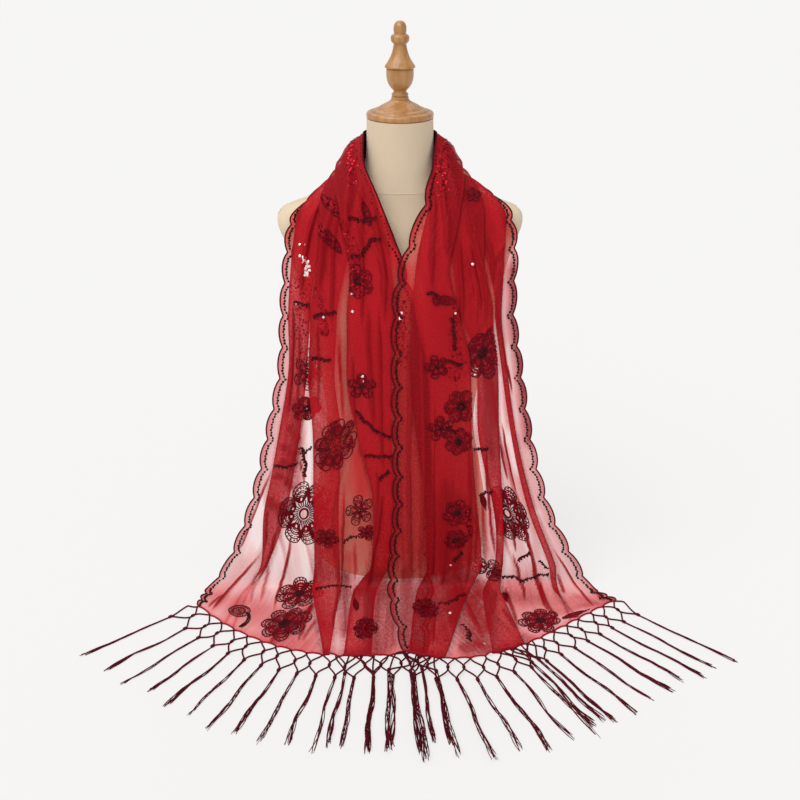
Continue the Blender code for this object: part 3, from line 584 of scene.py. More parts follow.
RIGHT_PLEATS = {
    "collar": ((0.04, 0.60), (0.18, 0.77), (0.33, 0.93), 0.0030, 0.0, 0.0, 0.75),
    "upper chest": ((0.06, 0.42), (0.30, 0.68), (0.54, 0.92), 0.0027, 0.1, 0.0, 0.30),
    "chest": ((0.12, 0.40), (0.43, 0.70), (0.74, 0.88), 0.0026, 0.7, 0.0078, 0.0),
    "bust": ((0.15, 0.52), (0.54, 0.80), (0.83, 0.880), 0.0028, 1.0, 0.0090, 0.0),
    "ribs": ((0.12, 0.59), (0.645, 0.80), (0.836, 0.876), 0.0028, 1.0, 0.0090, 0.0),
    "waist": ((0.16, 0.560), (0.610, 0.762), (0.849, 0.886), 0.0028, 1.0, 0.0090, 0.0),
    "hip": ((0.20, 0.540), (0.642, 0.709), (0.860, 0.903), 0.0026, 1.0, 0.0085, 0.0),
    "low": ((0.20, 0.490), (0.562, 0.603), (0.846, 0.884), 0.0022, 1.0, 0.0070, 0.0),
    "touch": ((0.14, 0.400), (0.460, 0.545), (0.805, 0.828), 0.0018, 1.0, 0.0048, 0.0),
    "hem": ((0.02, 0.170), (0.370, 0.520), (0.80, 0.76), 0.0016, 1.0, 0.0030, 0.0),
}


def smoothstep(low, high, value):
    share = np.clip((value - low) / (high - low), 0.0, 1.0)
    return share * share * (3 - 2 * share)


def curtain(x, z):
    """y of the hanging cloth at a height, falling back towards the sides."""
    depth, curve = monotone([row[0] for row in FRONT_LEVELS],
                            [row[1:] for row in FRONT_LEVELS], min(z, FRONT_LEVELS[-1][0]))
    return -depth + curve * x * x


def flat_row(row):
    """A row of the pleat tables as ten numbers in a line."""
    return [fold for pair in row[:3] for fold in pair] + list(row[3:])


class Half:
    """One half of the stole, from the nape to a hem, with x measured away from the middle."""

    def __init__(self, sections, hem, pleats):
        rows = list(NECK_SECTIONS.values())
        folds = [flat_row(NECK_PLEATS[name]) for name in NECK_SECTIONS]
        flat = {name: np.array(flat_row(row)) for name, row in pleats.items()}
        hanging = [name for name in sections if name not in ("collar", "touch")]
        rows.append([(x, COLLAR_FALL * max(x - COLLAR_SIDE, 0) - COLLAR_DEPTH, z)
                     for x, z in sections["collar"]])
        rows += [[(x, curtain(x, z), z) for x, z in sections[name]] for name in hanging]
        folds += [flat[name] for name in ("collar", *hanging)]
        for angle, share in BEND_TURNS:
            turn = math.radians(angle)
            rows.append([(x0 + (x1 - x0) * share, curtain(x0, z0) - BEND_RADIUS * (1 - math.cos(turn)),
                          CLOTH_REST + BEND_RADIUS * (1 - math.sin(turn)))
                         for (x0, z0), (x1, _) in zip(sections["low"], sections["touch"])])
            folds.append(flat["low"] * (1 - share) + flat["touch"] * share)
        rows.append([(x, y, CLOTH_REST) for x, y in hem])
        folds.append(flat["hem"])
        self.rows, self.folds = np.array(rows, float), np.array(folds, float)
        steps = np.linalg.norm(np.diff(self.rows, axis=0), axis=2).mean(axis=1)
        self.along = np.concatenate([[0.0], np.cumsum(steps)])
        self.length = float(self.along[-1])
        self.touch = float(self.along[-2])

    def columns(self, s):
        """The section's four points at a distance s from the nape, mirrored beyond the nape."""
        four = monotone(self.along, self.rows, abs(s))
        return four * np.array([-1.0, 1.0, 1.0]) if s < 0 else four

    def plain(self, t, s):
        """Points of the section's own curve, a cubic through its four points."""
        t = np.asarray(t, float)[:, None]
        four = self.columns(s)
        u = 3 * t
        weights = (-(u - 1) * (u - 2) * (u - 3) / 6, u * (u - 2) * (u - 3) / 2,
                   -u * (u - 1) * (u - 3) / 2, u * (u - 1) * (u - 2) / 6)
        return sum(w * p for w, p in zip(weights, four))

    def outward(self, t, s, nudge=1e-3):
        """Direction away from the form, or up from the table."""
        across = self.plain(np.asarray(t) + nudge, s) - self.plain(np.asarray(t) - nudge, s)
        down = self.plain(t, min(s + nudge, self.length)) - self.plain(t, s - nudge)
        return unit(np.cross(down, across))

    def breadth(self, s):
        """Length of the section's curve from edge to edge, nearly."""
        return float(np.linalg.norm(np.diff(self.columns(s), axis=0), axis=1).sum())


LEFT = Half(LEFT_SECTIONS, LEFT_HEM, LEFT_PLEATS)
RIGHT = Half(RIGHT_SECTIONS, RIGHT_HEM, RIGHT_PLEATS)

# %% [markdown]
# ## The cloth itself
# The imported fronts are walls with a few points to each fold. The real cloth is as thin as breath,
# so its piece is one open sheet with no thickness, on the same sections, with round folds instead
# of sharp ones, small scallops along both long edges and a hem pulled out to a point at each
# cord. A row of points crosses the sheet every 8.5 mm along it: outwards, back inside a pleat,
# and out again, seven runs in all.

# %% One cut across the cloth
CUT_WIDTH = 0.50
OUT_POINTS = (98, 98, 92, 64)  # along each run outwards
BACK_POINTS = 12  # along a run back inside a pleat
ROUND_POINTS = 5  # between the ends of each fold's arc
EDGE_BAND = (0.0, 0.0015, 0.003, 0.005, 0.008, 0.012)  # extra points in from each long edge
COVER_FADE = 0.03  # share of the width over which a pleat's cover fades out
STACK_ROOM = 0.0006  # how far a crease may rise under another layer
PRESSED = 0.0035  # to each side of a fold the threads lie closer
FOLD_CROWDING = 0.9


def runs_across(half, s):
    """Places across the width, heights above the base curve, how many pleats lie here, how far the
    point is under others, and its nearness to a fold, for one cut."""
    row = monotone(half.along, half.folds, abs(s))
    inner, outer = row[0:6:2], row[1:6:2]
    rise, settle, lift, pinch = row[6:10]
    width = half.breadth(s)
    ramp = RAMP / width
    rises = rise * np.clip((outer - inner + OPENED) / (1.5 * OPENED), 0.0, 1.0)
    turns = [0.0, outer[0], inner[0], outer[1], inner[1], outer[2], inner[2], 1.0]

    def height(t, passed, lean):
        total = np.zeros_like(t)
        for k in range(3):
            layers = 2 - min(max(passed - 2 * k, 0), 2) + lean * (passed == 2 * k + 1)
            total += rises[k] * layers * (1 - settle * (1 - smoothstep(inner[k] - ramp, inner[k], t)))
        return total * (1 - pinch * (1 - smoothstep(0.0, PINCH_END, t)))

    places, heights, legs = [], [], []
    for leg in range(7):
        start, end = turns[leg], turns[leg + 1]
        way = 1.0 if end >= start else -1.0
        tuck = min(0.5 * rise / width, abs(end - start) / 3)
        first, last = start + way * tuck * (leg > 0), end - way * tuck * (leg < 6)
        backward = leg % 2 == 1
        share = np.linspace(0, 1, BACK_POINTS if backward else OUT_POINTS[leg // 2])
        band = np.array(EDGE_BAND) / width
        if leg == 0:
            t = np.concatenate([band, band[-1] + (last - band[-1]) * share[1:]])
        elif leg == 6:
            t = np.concatenate([first + (1 - band[-1] - first) * share[:-1], 1 - band[::-1]])
        else:
            t = first + (last - first) * share
        lean = MID_TILT * (1 - 2 * share) * backward if backward else np.zeros_like(t)
        d = height(t, leg, lean)
        places.append(t)
        heights.append(d)
        legs.append(np.full(len(t), leg))
        if leg < 6:
            angle = np.pi * np.arange(1, ROUND_POINTS + 1) / (ROUND_POINTS + 1)
            after = height(np.array([last]), leg + 1, np.array([MID_TILT * (not backward)]))[0]
            places.append(last + way * tuck * np.sin(angle))
            heights.append(d[-1] + (after - d[-1]) * (1 - np.cos(angle)) / 2)
            legs.append(np.full(ROUND_POINTS, leg))
    t, d, leg = np.concatenate(places), np.concatenate(heights), np.concatenate(legs)
    cover = np.array([smoothstep(i - COVER_FADE, i, t) * (1 - smoothstep(o, o + COVER_FADE, t))
                      for i, o in zip(inner, outer)])
    under = sum(c * (leg > 2 * k) for k, c in enumerate(cover))
    near = max(PRESSED / width, 1e-4)
    pressed = sum(np.exp(-((t - fold) / near) ** 2) * (abs(leg - k - 0.5) < 1)
                  for k, fold in enumerate(turns[1:7]))
    return t, d + lift * (1 - smoothstep(*LIFT_FADE, t)), cover.sum(axis=0), under, np.clip(pressed, 0, 1)


sample = runs_across(LEFT, 0.6)
print(f"one cut has {len(sample[0])} points, up to {1 + 2 * sample[2].max():.0f} layers deep")

# %% [markdown]
# Along with its place, each point keeps facts that the finish needs later: how many layers lie
# here, and how close its threads stand. A mesh cloth seen edge-on, pressed in a fold or gathered
# shows more thread and less gap, which darkens a sheer fold; the same facts also deepen its red
# as painted shade.

# %% Lay one row
ROWS_TO_SCALLOP = 6
ROW_MARGIN = 0.4  # of the distance between rows, kept free before each hem
BEND_EXTRA = 3  # rows added where the cloth turns onto the table
SCALLOP_FULLNESS = 0.75  # power; below 1 the crowns are round and the notches sharp
SCALLOP_INSIDE = 0.55  # share of the rise that lies inside the cut's edge
FRINGE_TASSELS = 16  # at each end
HEM_INSET = 0.012  # share of the hem left free at each corner
HEM_PULL = 0.0028  # by which each cord draws the hem to a point
HEM_SHARPNESS = 6  # power; higher makes the points narrower
PULL_FROM = 0.75  # share of the way from the first touch to the hem where the pull begins
CREASE_REACH = 2.5  # half widths within which a crease is still felt
CREASE_FADE = 0.28  # share of a crease's length over which each end dies away
CREASE_TIP = 0.45  # share of its width that a crease keeps at its ends
LEFT_TURNED = (0.24, 0.32)  # up to where the neck-side edge is turned under, from the nape
RIGHT_TURNED = (0.14, 0.20)
TURNED_BAND = (0.012, 0.020)  # width of cloth that is turned under
TURNED_CROWDING = 2.4
PLEAT_CROWDING = 0.5  # a pleat is gathered closer than its three runs
# each such layer deepens the red as painted shade
CREASE_LAYERS = 0.6  # layers that a crease adds for each unit of crowding
SHARP_SIDE, SOFT_SIDE = 0.65, 1.30  # of a crease, in its own half width
BROAD = 0.006  # half width from which a crease is a broad veil with no tapered ends
BOUND_EDGE = (0.0055, 1.1)  # reach of the close stitches along the scallops, and their crowding
BOUND_HEM = (0.0090, 1.0)  # the same along the hem

def edge_free(s):
    """Share to which the neck-side edge lies open, and not turned under, at a distance s from the nape."""
    return np.where(s > 0, smoothstep(*LEFT_TURNED, s), smoothstep(*RIGHT_TURNED, -s))


def scallop(s, near_neck=False):
    """How far the long edge stands out at a distance s from the nape."""
    crown = np.abs(np.sin(np.pi * s / SCALLOP_PITCH)) ** SCALLOP_FULLNESS
    rise = SCALLOP_RISE * (crown - SCALLOP_INSIDE)
    return rise * edge_free(s) if near_neck else rise


def hem_pull(t):
    """How far the hem is drawn out at a share of its width."""
    turn = (np.clip(t, 0, 1) - HEM_INSET) / (1 - 2 * HEM_INSET) * (FRINGE_TASSELS - 1)
    return HEM_PULL * np.abs(np.cos(np.pi * turn)) ** HEM_SHARPNESS


def crease_row(cut, s, creases):
    """Height of the ridges and how close the threads lie at places across the cut, painted shade of the
    creases included.
    """
    ridge, crowding_and_shade = np.zeros_like(cut), np.zeros_like(cut)
    for i, (path, height, half_width, crowd_and_shade) in enumerate(creases):
        reach = CREASE_REACH * half_width
        if path[:, 1].min() - reach <= s <= path[:, 1].max() + reach:
            start, way = path[:-1], np.diff(path, axis=0)
            length = np.maximum(np.linalg.norm(way, axis=1), 1e-6)
            offset = np.stack([cut[:, None] - start[:, 0], s - start[:, 1] + 0 * cut[:, None]], axis=2)
            gone = np.clip(np.sum(offset * way, axis=2) / length ** 2, 0, 1)
            away = np.linalg.norm(offset - way * gone[..., None], axis=2)
            near = away.argmin(axis=1)
            rows = np.arange(len(cut))
            share = (np.cumsum(length) - length + length * gone)[rows, near] / length.sum()
            swell = np.sin(np.pi / 2 * np.minimum(np.minimum(share, 1 - share) / CREASE_FADE, 1.0))
            swell = np.ones_like(swell) if half_width >= BROAD else swell
            turn = (way[:, 0] * offset[..., 1] - way[:, 1] * offset[..., 0])[rows, near] * (-1) ** i
            taper = CREASE_TIP + (1 - CREASE_TIP) * swell
            width = half_width * taper * np.where(turn > 0, SHARP_SIDE, SOFT_SIDE)
            bell = swell * np.exp(-(away[rows, near] / width) ** 2)
            ridge += height * bell
            crowding_and_shade += crowd_and_shade * bell
    return ridge, crowding_and_shade


def lay_row(s, creases):
    """Points of one cut, their cut places, layers, outward directions, developed width, thread density with
    painted shade.
    """
    half, side = (LEFT, -1.0) if s >= 0 else (RIGHT, 1.0)
    far = abs(s)
    t, d, cover, under, pressed = runs_across(half, far)
    base, out = half.plain(t, far), half.outward(t, far)
    line = base + out * d[:, None]
    gone = gone_along(line)
    cut = gone / gone[-1] * CUT_WIDTH
    ridge, crowding_and_shade = crease_row(cut, s, creases)
    free = 1 - np.clip(under, 0, 1)
    line = line + out * np.minimum(ridge, STACK_ROOM + free * ridge)[:, None]
    band = len(EDGE_BAND)
    for edge, inside, places in ((0, band - 1, range(band)), (-1, -band, range(-1, -band - 1, -1))):
        way = line[edge] - line[inside]
        reach = np.linalg.norm(way)
        for i in places:
            share = 1 - np.linalg.norm(line[i] - line[edge]) / reach if i != edge else 1.0
            line[i] = line[i] + way / reach * scallop(s, edge == 0) * max(share, 0.0)
    past_touch = far - half.touch
    if past_touch > 0:
        pull = hem_pull(t) * smoothstep(PULL_FROM, 1.0, past_touch / (half.length - half.touch))
        down = half.plain(t, far) - half.plain(t, far - 2e-3)
        line = line + unit(down) * pull[:, None]
    line[:, 2] = np.maximum(line[:, 2], CLOTH_REST / 2)
    mirror = np.array([side, 1.0, 1.0])
    # the layer count also deepens the red as painted shade
    layers = 1 + 2 * cover + CREASE_LAYERS * np.maximum(crowding_and_shade, 0)
    turned = (1 - edge_free(s)) * (1 - smoothstep(*TURNED_BAND, cut))
    bound = BOUND_EDGE[1] * np.exp(-(np.minimum(cut, CUT_WIDTH - cut) / BOUND_EDGE[0]) ** 2)
    bound = bound + BOUND_HEM[1] * math.exp(-((half.length - far) / BOUND_HEM[0]) ** 2)
    crowding_and_shade = (crowding_and_shade + FOLD_CROWDING * pressed + PLEAT_CROWDING * np.minimum(cover, 1)
                + TURNED_CROWDING * turned + bound)
    return line * mirror, cut, layers, out * mirror, gone[-1], crowding_and_shade


def lay_sheet(creases):
    """All rows from the right hem over the nape to the left hem, as arrays."""
    return [np.array(column) for column in zip(*(lay_row(s, creases) for s in ALONG))]


def grid_faces(rows, columns):
    index = np.arange(rows * columns).reshape(rows, columns)
    corners = (index[:-1, :-1], index[1:, :-1], index[1:, 1:], index[:-1, 1:])
    return np.stack([c.ravel() for c in corners], axis=1)


step = SCALLOP_PITCH / ROWS_TO_SCALLOP
first_mark = math.ceil(-RIGHT.length / step + ROW_MARGIN)
last_mark = math.floor(LEFT.length / step - ROW_MARGIN)
marks = [k * step for k in range(first_mark, last_mark + 1)]
for half, side in ((LEFT, 1), (RIGHT, -1)):
    bend = half.along[-2 - len(BEND_TURNS)]
    marks += [side * (bend + (half.touch - bend) * (k + 0.5) / BEND_EXTRA) for k in range(BEND_EXTRA)]
ALONG = np.array([-RIGHT.length, *sorted(marks), LEFT.length])
POINTS, CUT, LAYERS, MACRO, DEVELOPED, CROWDING_AND_SHADE = lay_sheet([])
ROWS, COLUMNS = CUT.shape
sheet_faces = grid_faces(ROWS, COLUMNS)
print(f"{ROWS} rows of {COLUMNS} points; "
      f"cut width developed to {DEVELOPED.min():.3f}-{DEVELOPED.max():.3f} m")


def sight_tree():
    """The sheet as it is laid now, for lines of sight to meet."""
    return BVHTree.FromPolygons([Vector(p) for p in POINTS.reshape(-1, 3)], sheet_faces.tolist())


cloth_tree = sight_tree()


def seen_in_cut(px, py):
    """Place in the cut of the cloth that shows at a pixel of the picture."""
    _, _, face, _ = cloth_tree.ray_cast(*sight_line(px, py))
    if face is None:
        return None
    r, c = divmod(face, COLUMNS - 1)
    return float(CUT[r, c]), float(ALONG[r])

# %% [markdown]
# ## Creases
# The main creases are placed one by one. Those that show are given by the pixels they run
# through, from the neck down, and found in the cut along the lines of sight; further ones keep to
# the cut itself, so the parts that lie hidden are creased alike. A crease is a low soft ridge in
# which the threads crowd; the crowding thickens the cover and deepens the red, so a crease's dark
# line is partly painted shade of the fold. Where crowding is negative the cloth is stretched thin
# and more light comes through. Broad places of positive crowding are painted shade, mostly the
# shadow of the form and the table seen through the cloth.

# %% Creases that show
# Pixels it runs through, height, half width (metres), crowding of the threads, which is partly painted shade.
SHOWN_CREASES = [
    # from the neck over the left chest
    ([(360, 150), (353, 172), (348, 205), (346, 240), (347, 265), (345, 300)], 0.0060, 0.0035, 1.6),
    ([(351, 158), (341, 180), (334, 200), (322, 240), (318, 290)], 0.0055, 0.0040, 1.0),
    ([(340, 170), (326, 195), (312, 222), (306, 250), (300, 300)], 0.0045, 0.0032, 1.2),
    ([(357, 145), (345, 172), (340, 202), (333, 245), (331, 300), (330, 330)], 0.0040, 0.0026, 0.9),
    ([(366, 165), (372, 200), (379, 235), (385, 275), (384, 330)], 0.0050, 0.0045, 0.8),
    ([(364, 160), (362, 195), (361, 235), (362, 275), (361, 330)], 0.0045, 0.0026, 1.0),
    ([(330, 184), (318, 205), (310, 235), (305, 262)], 0.0030, 0.0020, 1.4),
    ([(318, 197), (308, 210), (301, 228), (297, 250), (294, 262)], 0.0, 0.0050, -0.45),
    ([(372, 240), (380, 262), (388, 285), (391, 300)], 0.0015, 0.0028, -0.30),
    ([(373, 178), (381, 203), (390, 228), (398, 250)], 0.0, 0.0100, 1.3),
    # left front
    ([(343, 290), (344, 330), (346, 380), (349, 425)], 0.0, 0.0050, -0.25),
    ([(338, 330), (339, 370), (341, 400), (343, 426)], 0.0030, 0.0020, 1.8),
    ([(352, 360), (353, 395), (356, 425), (358, 460)], 0.0030, 0.0020, 1.6),
    ([(368, 300), (367, 350), (371, 400), (374, 440)], 0.0035, 0.0034, 0.8),
    ([(378, 300), (380, 350), (381, 400), (382, 440), (384, 480)], 0.0030, 0.0024, 1.0),
    ([(321, 330), (327, 370), (331, 400), (332, 425)], 0.0022, 0.0050, -0.50),
    ([(317, 320), (318, 350), (319, 380), (318, 410)], 0.0030, 0.0017, 1.6),
    ([(305, 330), (303, 350), (304, 372)], 0.0020, 0.0030, -0.30),
    ([(293, 300), (294, 345), (291, 390), (287, 420)], 0.0040, 0.0020, 1.8),
    ([(299, 320), (299, 360), (297, 400), (296, 430)], 0.0030, 0.0018, 1.6),
    ([(286, 425), (294, 436), (302, 444)], 0.0030, 0.0034, 1.3),
    ([(278, 448), (289, 455), (300, 456)], 0.0030, 0.0034, 1.3),
    ([(271, 466), (283, 466), (297, 464)], 0.0030, 0.0036, 1.3),
    ([(268, 488), (276, 478), (286, 482), (294, 492)], 0.0030, 0.0034, 1.6),
    ([(266, 500), (273, 508), (284, 510), (290, 503)], 0.0030, 0.0060, 2.0),
    ([(310, 420), (310, 450), (309, 475), (304, 500)], 0.0, 0.0110, -0.85),
    ([(299, 462), (303, 474), (304, 486)], 0.0025, 0.0014, 2.6),
    ([(266, 480), (266, 510), (265, 540), (262, 555)], 0.0030, 0.0020, 2.0),
    ([(271, 474), (259, 502), (248, 528), (240, 546), (235, 557)], 0.0030, 0.0018, 2.4),
    ([(291, 532), (288, 555), (282, 578), (275, 600), (273, 612)], 0.0040, 0.0017, 3.6),
    ([(280, 524), (273, 545), (268, 562), (262, 574), (255, 586)], 0.0030, 0.0017, 3.2),
    ([(268, 566), (263, 586), (259, 603)], 0.0025, 0.0020, 1.4),
    ([(257, 570), (253, 588), (249, 606)], 0.0025, 0.0020, 1.0),
    ([(264, 550), (247, 569), (231, 587), (217, 603), (210, 612)], 0.0035, 0.0024, 2.8),
    ([(224, 594), (214, 602), (207, 609)], 0.0025, 0.0020, 1.6),
    ([(284, 535), (276, 560), (270, 590)], 0.0, 0.0120, -0.55),
    ([(303, 540), (301, 580)], 0.0, 0.0170, -0.30),
    ([(256, 500), (252, 530), (245, 555)], 0.0, 0.0130, -0.40),
    ([(343, 480), (343, 520), (342, 560), (339, 598), (333, 622), (334, 646)], 0.0035, 0.0020, 1.8),
    ([(354, 545), (354, 590)], 0.0025, 0.0018, 1.4),
    ([(383, 490), (378, 530), (371, 565), (363, 598)], 0.0040, 0.0042, 1.2),
    ([(377, 470), (377, 500), (373, 540)], 0.0025, 0.0020, 1.3),
    ([(348, 500), (350, 550)], 0.0, 0.0060, -0.30),
    ([(313, 603), (304, 622), (297, 642)], 0.0035, 0.0022, 3.2),
    ([(320, 618), (310, 630), (301, 642)], 0.0025, 0.0018, 1.6),
    ([(300, 606), (285, 622), (268, 636)], 0.0030, 0.0030, 2.4),
    # broad places in front: positive crowding is painted shade of the form and table seen through the cloth,
    # negative is cloth stretched thin
    ([(296, 405), (297, 440), (296, 490)], 0.0, 0.0090, 1.2),
    ([(281, 480), (281, 501)], 0.0, 0.0085, -0.90),
    ([(388, 584), (387, 615), (384, 650)], 0.0, 0.0200, 1.5),
    ([(346, 560), (350, 596)], 0.0, 0.0090, 0.8),
    ([(345, 576), (346, 634)], 0.0, 0.0090, 2.4),
    ([(405, 572), (405, 634)], 0.0, 0.0090, 1.5),
    ([(375, 590), (376, 650)], 0.0, 0.0090, 1.0),
    ([(394, 615), (394, 646)], 0.0, 0.0070, 1.2),
    ([(205, 592), (290, 622), (400, 640)], 0.0, 0.0350, 1.00),
    ([(340, 590), (402, 596)], 0.0, 0.0300, 0.90),
    ([(431, 440), (430, 560)], 0.0, 0.0120, -0.20),
    ([(316, 602), (300, 619), (285, 634), (272, 644)], 0.0040, 0.0064, 2.2),
    ([(300, 300), (298, 420)], 0.0, 0.0180, -0.25),
    ([(322, 378), (326, 426)], 0.0, 0.0100, -0.35),
    ([(263, 508), (262, 545)], 0.0, 0.0100, -0.70),
    ([(318, 478), (322, 500)], 0.0, 0.0120, -0.40),
    ([(384, 580), (392, 645)], 0.0, 0.0220, 0.9),
    ([(499, 505), (500, 535)], 0.0, 0.0110, -0.55),
    ([(489, 452), (490, 490)], 0.0, 0.0100, -0.45),
    ([(522, 510), (523, 535)], 0.0, 0.0130, -0.40),
    ([(469, 385), (469, 405)], 0.0, 0.0080, -0.80),
    ([(478, 568), (480, 592)], 0.0, 0.0110, 2.2),
    ([(275, 640), (312, 646)], 0.0, 0.0120, 0.6),
    ([(311, 202), (304, 242)], 0.0, 0.0110, -0.50),
    ([(297, 258), (292, 290)], 0.0, 0.0110, -0.55),
    ([(258, 508), (254, 542)], 0.0, 0.0100, -0.40),
    ([(311, 542), (311, 582)], 0.0, 0.0120, -0.60),
    ([(357, 450), (360, 496)], 0.0, 0.0130, 1.2),
    # from the neck over the right chest
    ([(437, 150), (441, 180), (447, 212), (450, 245), (453, 275), (455, 320), (456, 370)],
     0.0060, 0.0030, 2.4),
    ([(444, 150), (450, 175), (458, 198), (466, 222)], 0.0045, 0.0030, 0.6),
    ([(452, 160), (460, 190), (468, 215), (478, 245), (486, 275), (490, 300)], 0.0050, 0.0022, 1.6),
    ([(440, 145), (446, 172), (454, 205), (459, 240), (461, 280), (462, 330)], 0.0040, 0.0024, 1.2),
    ([(458, 168), (470, 195), (482, 222), (492, 250), (494, 285)], 0.0040, 0.0026, 1.0),
    ([(430, 170), (434, 210), (432, 250), (431, 290)], 0.0045, 0.0040, 0.8),
    ([(436, 160), (431, 190), (425, 215), (420, 232)], 0.0, 0.0080, 1.3),
    ([(424, 228), (419, 255), (418, 285), (420, 315), (424, 340)], 0.0, 0.0085, -0.85),
    # broad places low on the right front, painted shade of the form and table seen through the cloth, then
    # more from the neck
    ([(455, 500), (456, 550), (456, 596)], 0.0, 0.0300, 1.0),
    ([(448, 600), (452, 645)], 0.0, 0.0240, 0.8),
    ([(466, 580), (472, 612), (474, 642)], 0.0, 0.0160, 1.3),
    ([(478, 590), (482, 615), (484, 640)], 0.0, 0.0120, 1.0),
    ([(418, 596), (418, 645)], 0.0, 0.0240, 0.3),
    ([(462, 230), (471, 262), (476, 300), (474, 340)], 0.0035, 0.0028, -0.30),
    ([(488, 196), (497, 215), (503, 240), (504, 255)], 0.0, 0.0050, -0.45),
    ([(481, 250), (485, 285), (487, 320)], 0.0035, 0.0020, 1.4),
    ([(470, 240), (476, 275), (482, 310)], 0.0030, 0.0018, 1.4),
    # right front; its broad places of positive crowding are painted shade as well
    ([(486, 366), (488, 400), (490, 452)], 0.0, 0.0110, 0.9),
    ([(476, 560), (475, 600)], 0.0, 0.0140, 1.8),
    ([(461, 614), (466, 648)], 0.0, 0.0160, 1.1),
    ([(478, 606), (484, 646)], 0.0, 0.0150, 1.2),
    ([(483, 490), (484, 530), (486, 562)], 0.0030, 0.0040, 1.6),
    ([(520, 596), (526, 634)], 0.0, 0.0150, 0.5),
    ([(558, 612), (588, 605)], 0.0, 0.0120, 1.0),
    ([(518, 632), (536, 637)], 0.0, 0.0100, 1.2),
    ([(500, 592), (560, 600), (628, 604)], 0.0, 0.0300, 1.20),
    ([(492, 380), (497, 410), (503, 442)], 0.0, 0.0090, 0.9),
    ([(507, 345), (511, 380), (517, 430)], 0.0, 0.0070, -0.5),
    ([(530, 596), (560, 608)], 0.0, 0.0200, 0.4),
    ([(576, 596), (600, 603)], 0.0, 0.0120, 0.6),
    ([(514, 268), (518, 330), (525, 400), (531, 440)], 0.0, 0.0100, 1.8),
    ([(528, 575), (536, 612)], 0.0, 0.0120, 0.6),
    ([(500, 262), (499, 300), (499, 330)], 0.0035, 0.0020, 2.4),
    ([(500, 322), (503, 343), (507, 366), (512, 390)], 0.0030, 0.0014, 3.4),
    ([(500, 375), (501, 405), (505, 440)], 0.0, 0.0060, -0.55),
    ([(557, 570), (560, 582), (564, 594)], 0.0035, 0.0020, 2.4),
    ([(502, 420), (506, 446), (511, 470), (516, 492)], 0.0030, 0.0014, 3.4),
    ([(498, 430), (502, 455), (507, 478)], 0.0030, 0.0014, 3.0),
    ([(508, 420), (513, 450), (519, 480)], 0.0, 0.0050, -0.70),
    ([(516, 488), (521, 512), (527, 537), (533, 560), (537, 580), (545, 604), (556, 618)],
     0.0050, 0.0022, 4.0),
    ([(511, 515), (514, 535), (516, 552)], 0.0030, 0.0015, 3.2),
    ([(514, 518), (521, 533), (529, 544)], 0.0030, 0.0014, 3.0),
    ([(513, 552), (519, 568), (523, 585), (526, 602)], 0.0030, 0.0015, 3.2),
    ([(540, 574), (541, 592), (549, 608), (559, 619)], 0.0030, 0.0022, 2.2),
    ([(551, 545), (563, 563), (577, 586), (588, 600), (594, 607)], 0.0030, 0.0014, 2.8),
    ([(590, 585), (600, 596), (608, 605)], 0.0025, 0.0016, 2.0),
    ([(524, 520), (530, 545), (535, 565)], 0.0, 0.0055, -0.65),
    ([(535, 510), (541, 545), (546, 565)], 0.0, 0.0075, -0.60),
    ([(472, 372), (472, 405), (474, 440)], 0.0, 0.0075, -0.85),
    ([(478, 400), (480, 440), (482, 480), (481, 520), (484, 556)], 0.0, 0.0050, -0.20),
    ([(486, 440), (487, 470), (490, 505), (493, 535), (497, 556)], 0.0035, 0.0015, 3.2),
    ([(494, 480), (496, 510), (498, 560)], 0.0, 0.0060, -0.85),
    ([(509, 545), (508, 572)], 0.0, 0.0130, -0.62),
    ([(468, 440), (470, 480), (471, 520), (469, 560), (466, 588)], 0.0035, 0.0020, 1.8),
    ([(475, 440), (476, 480), (477, 520), (476, 560)], 0.0030, 0.0015, 1.8),
    ([(444, 470), (445, 520), (444, 560), (442, 592)], 0.0035, 0.0022, 1.6),
    ([(434, 380), (434, 430), (433, 480), (434, 540), (431, 592)], 0.0035, 0.0026, -0.15),
    ([(421, 330), (422, 380), (424, 440), (425, 500)], 0.0035, 0.0028, 1.0),
    ([(410, 340), (411, 400), (409, 460), (411, 540), (412, 600)], 0.0035, 0.0040, 0.8),
    ([(452, 578), (457, 592), (465, 604), (471, 616)], 0.0035, 0.0022, 2.6),
    ([(463, 590), (469, 606), (477, 622), (485, 637)], 0.0035, 0.0020, 2.6),
    ([(500, 580), (508, 596), (514, 612), (518, 630)], 0.0035, 0.0020, 2.8),
    ([(497, 588), (494, 604), (488, 622), (484, 634)], 0.0030, 0.0024, 1.8),
    ([(500, 604), (509, 618), (517, 630)], 0.0030, 0.0020, 1.6),
    ([(434, 600), (434, 622), (433, 645)], 0.0030, 0.0022, 2.0),
    ([(450, 640), (470, 644), (486, 640)], 0.0030, 0.0030, 1.6),
    ([(420, 640), (405, 646), (396, 648)], 0.0030, 0.0026, 1.4),
]
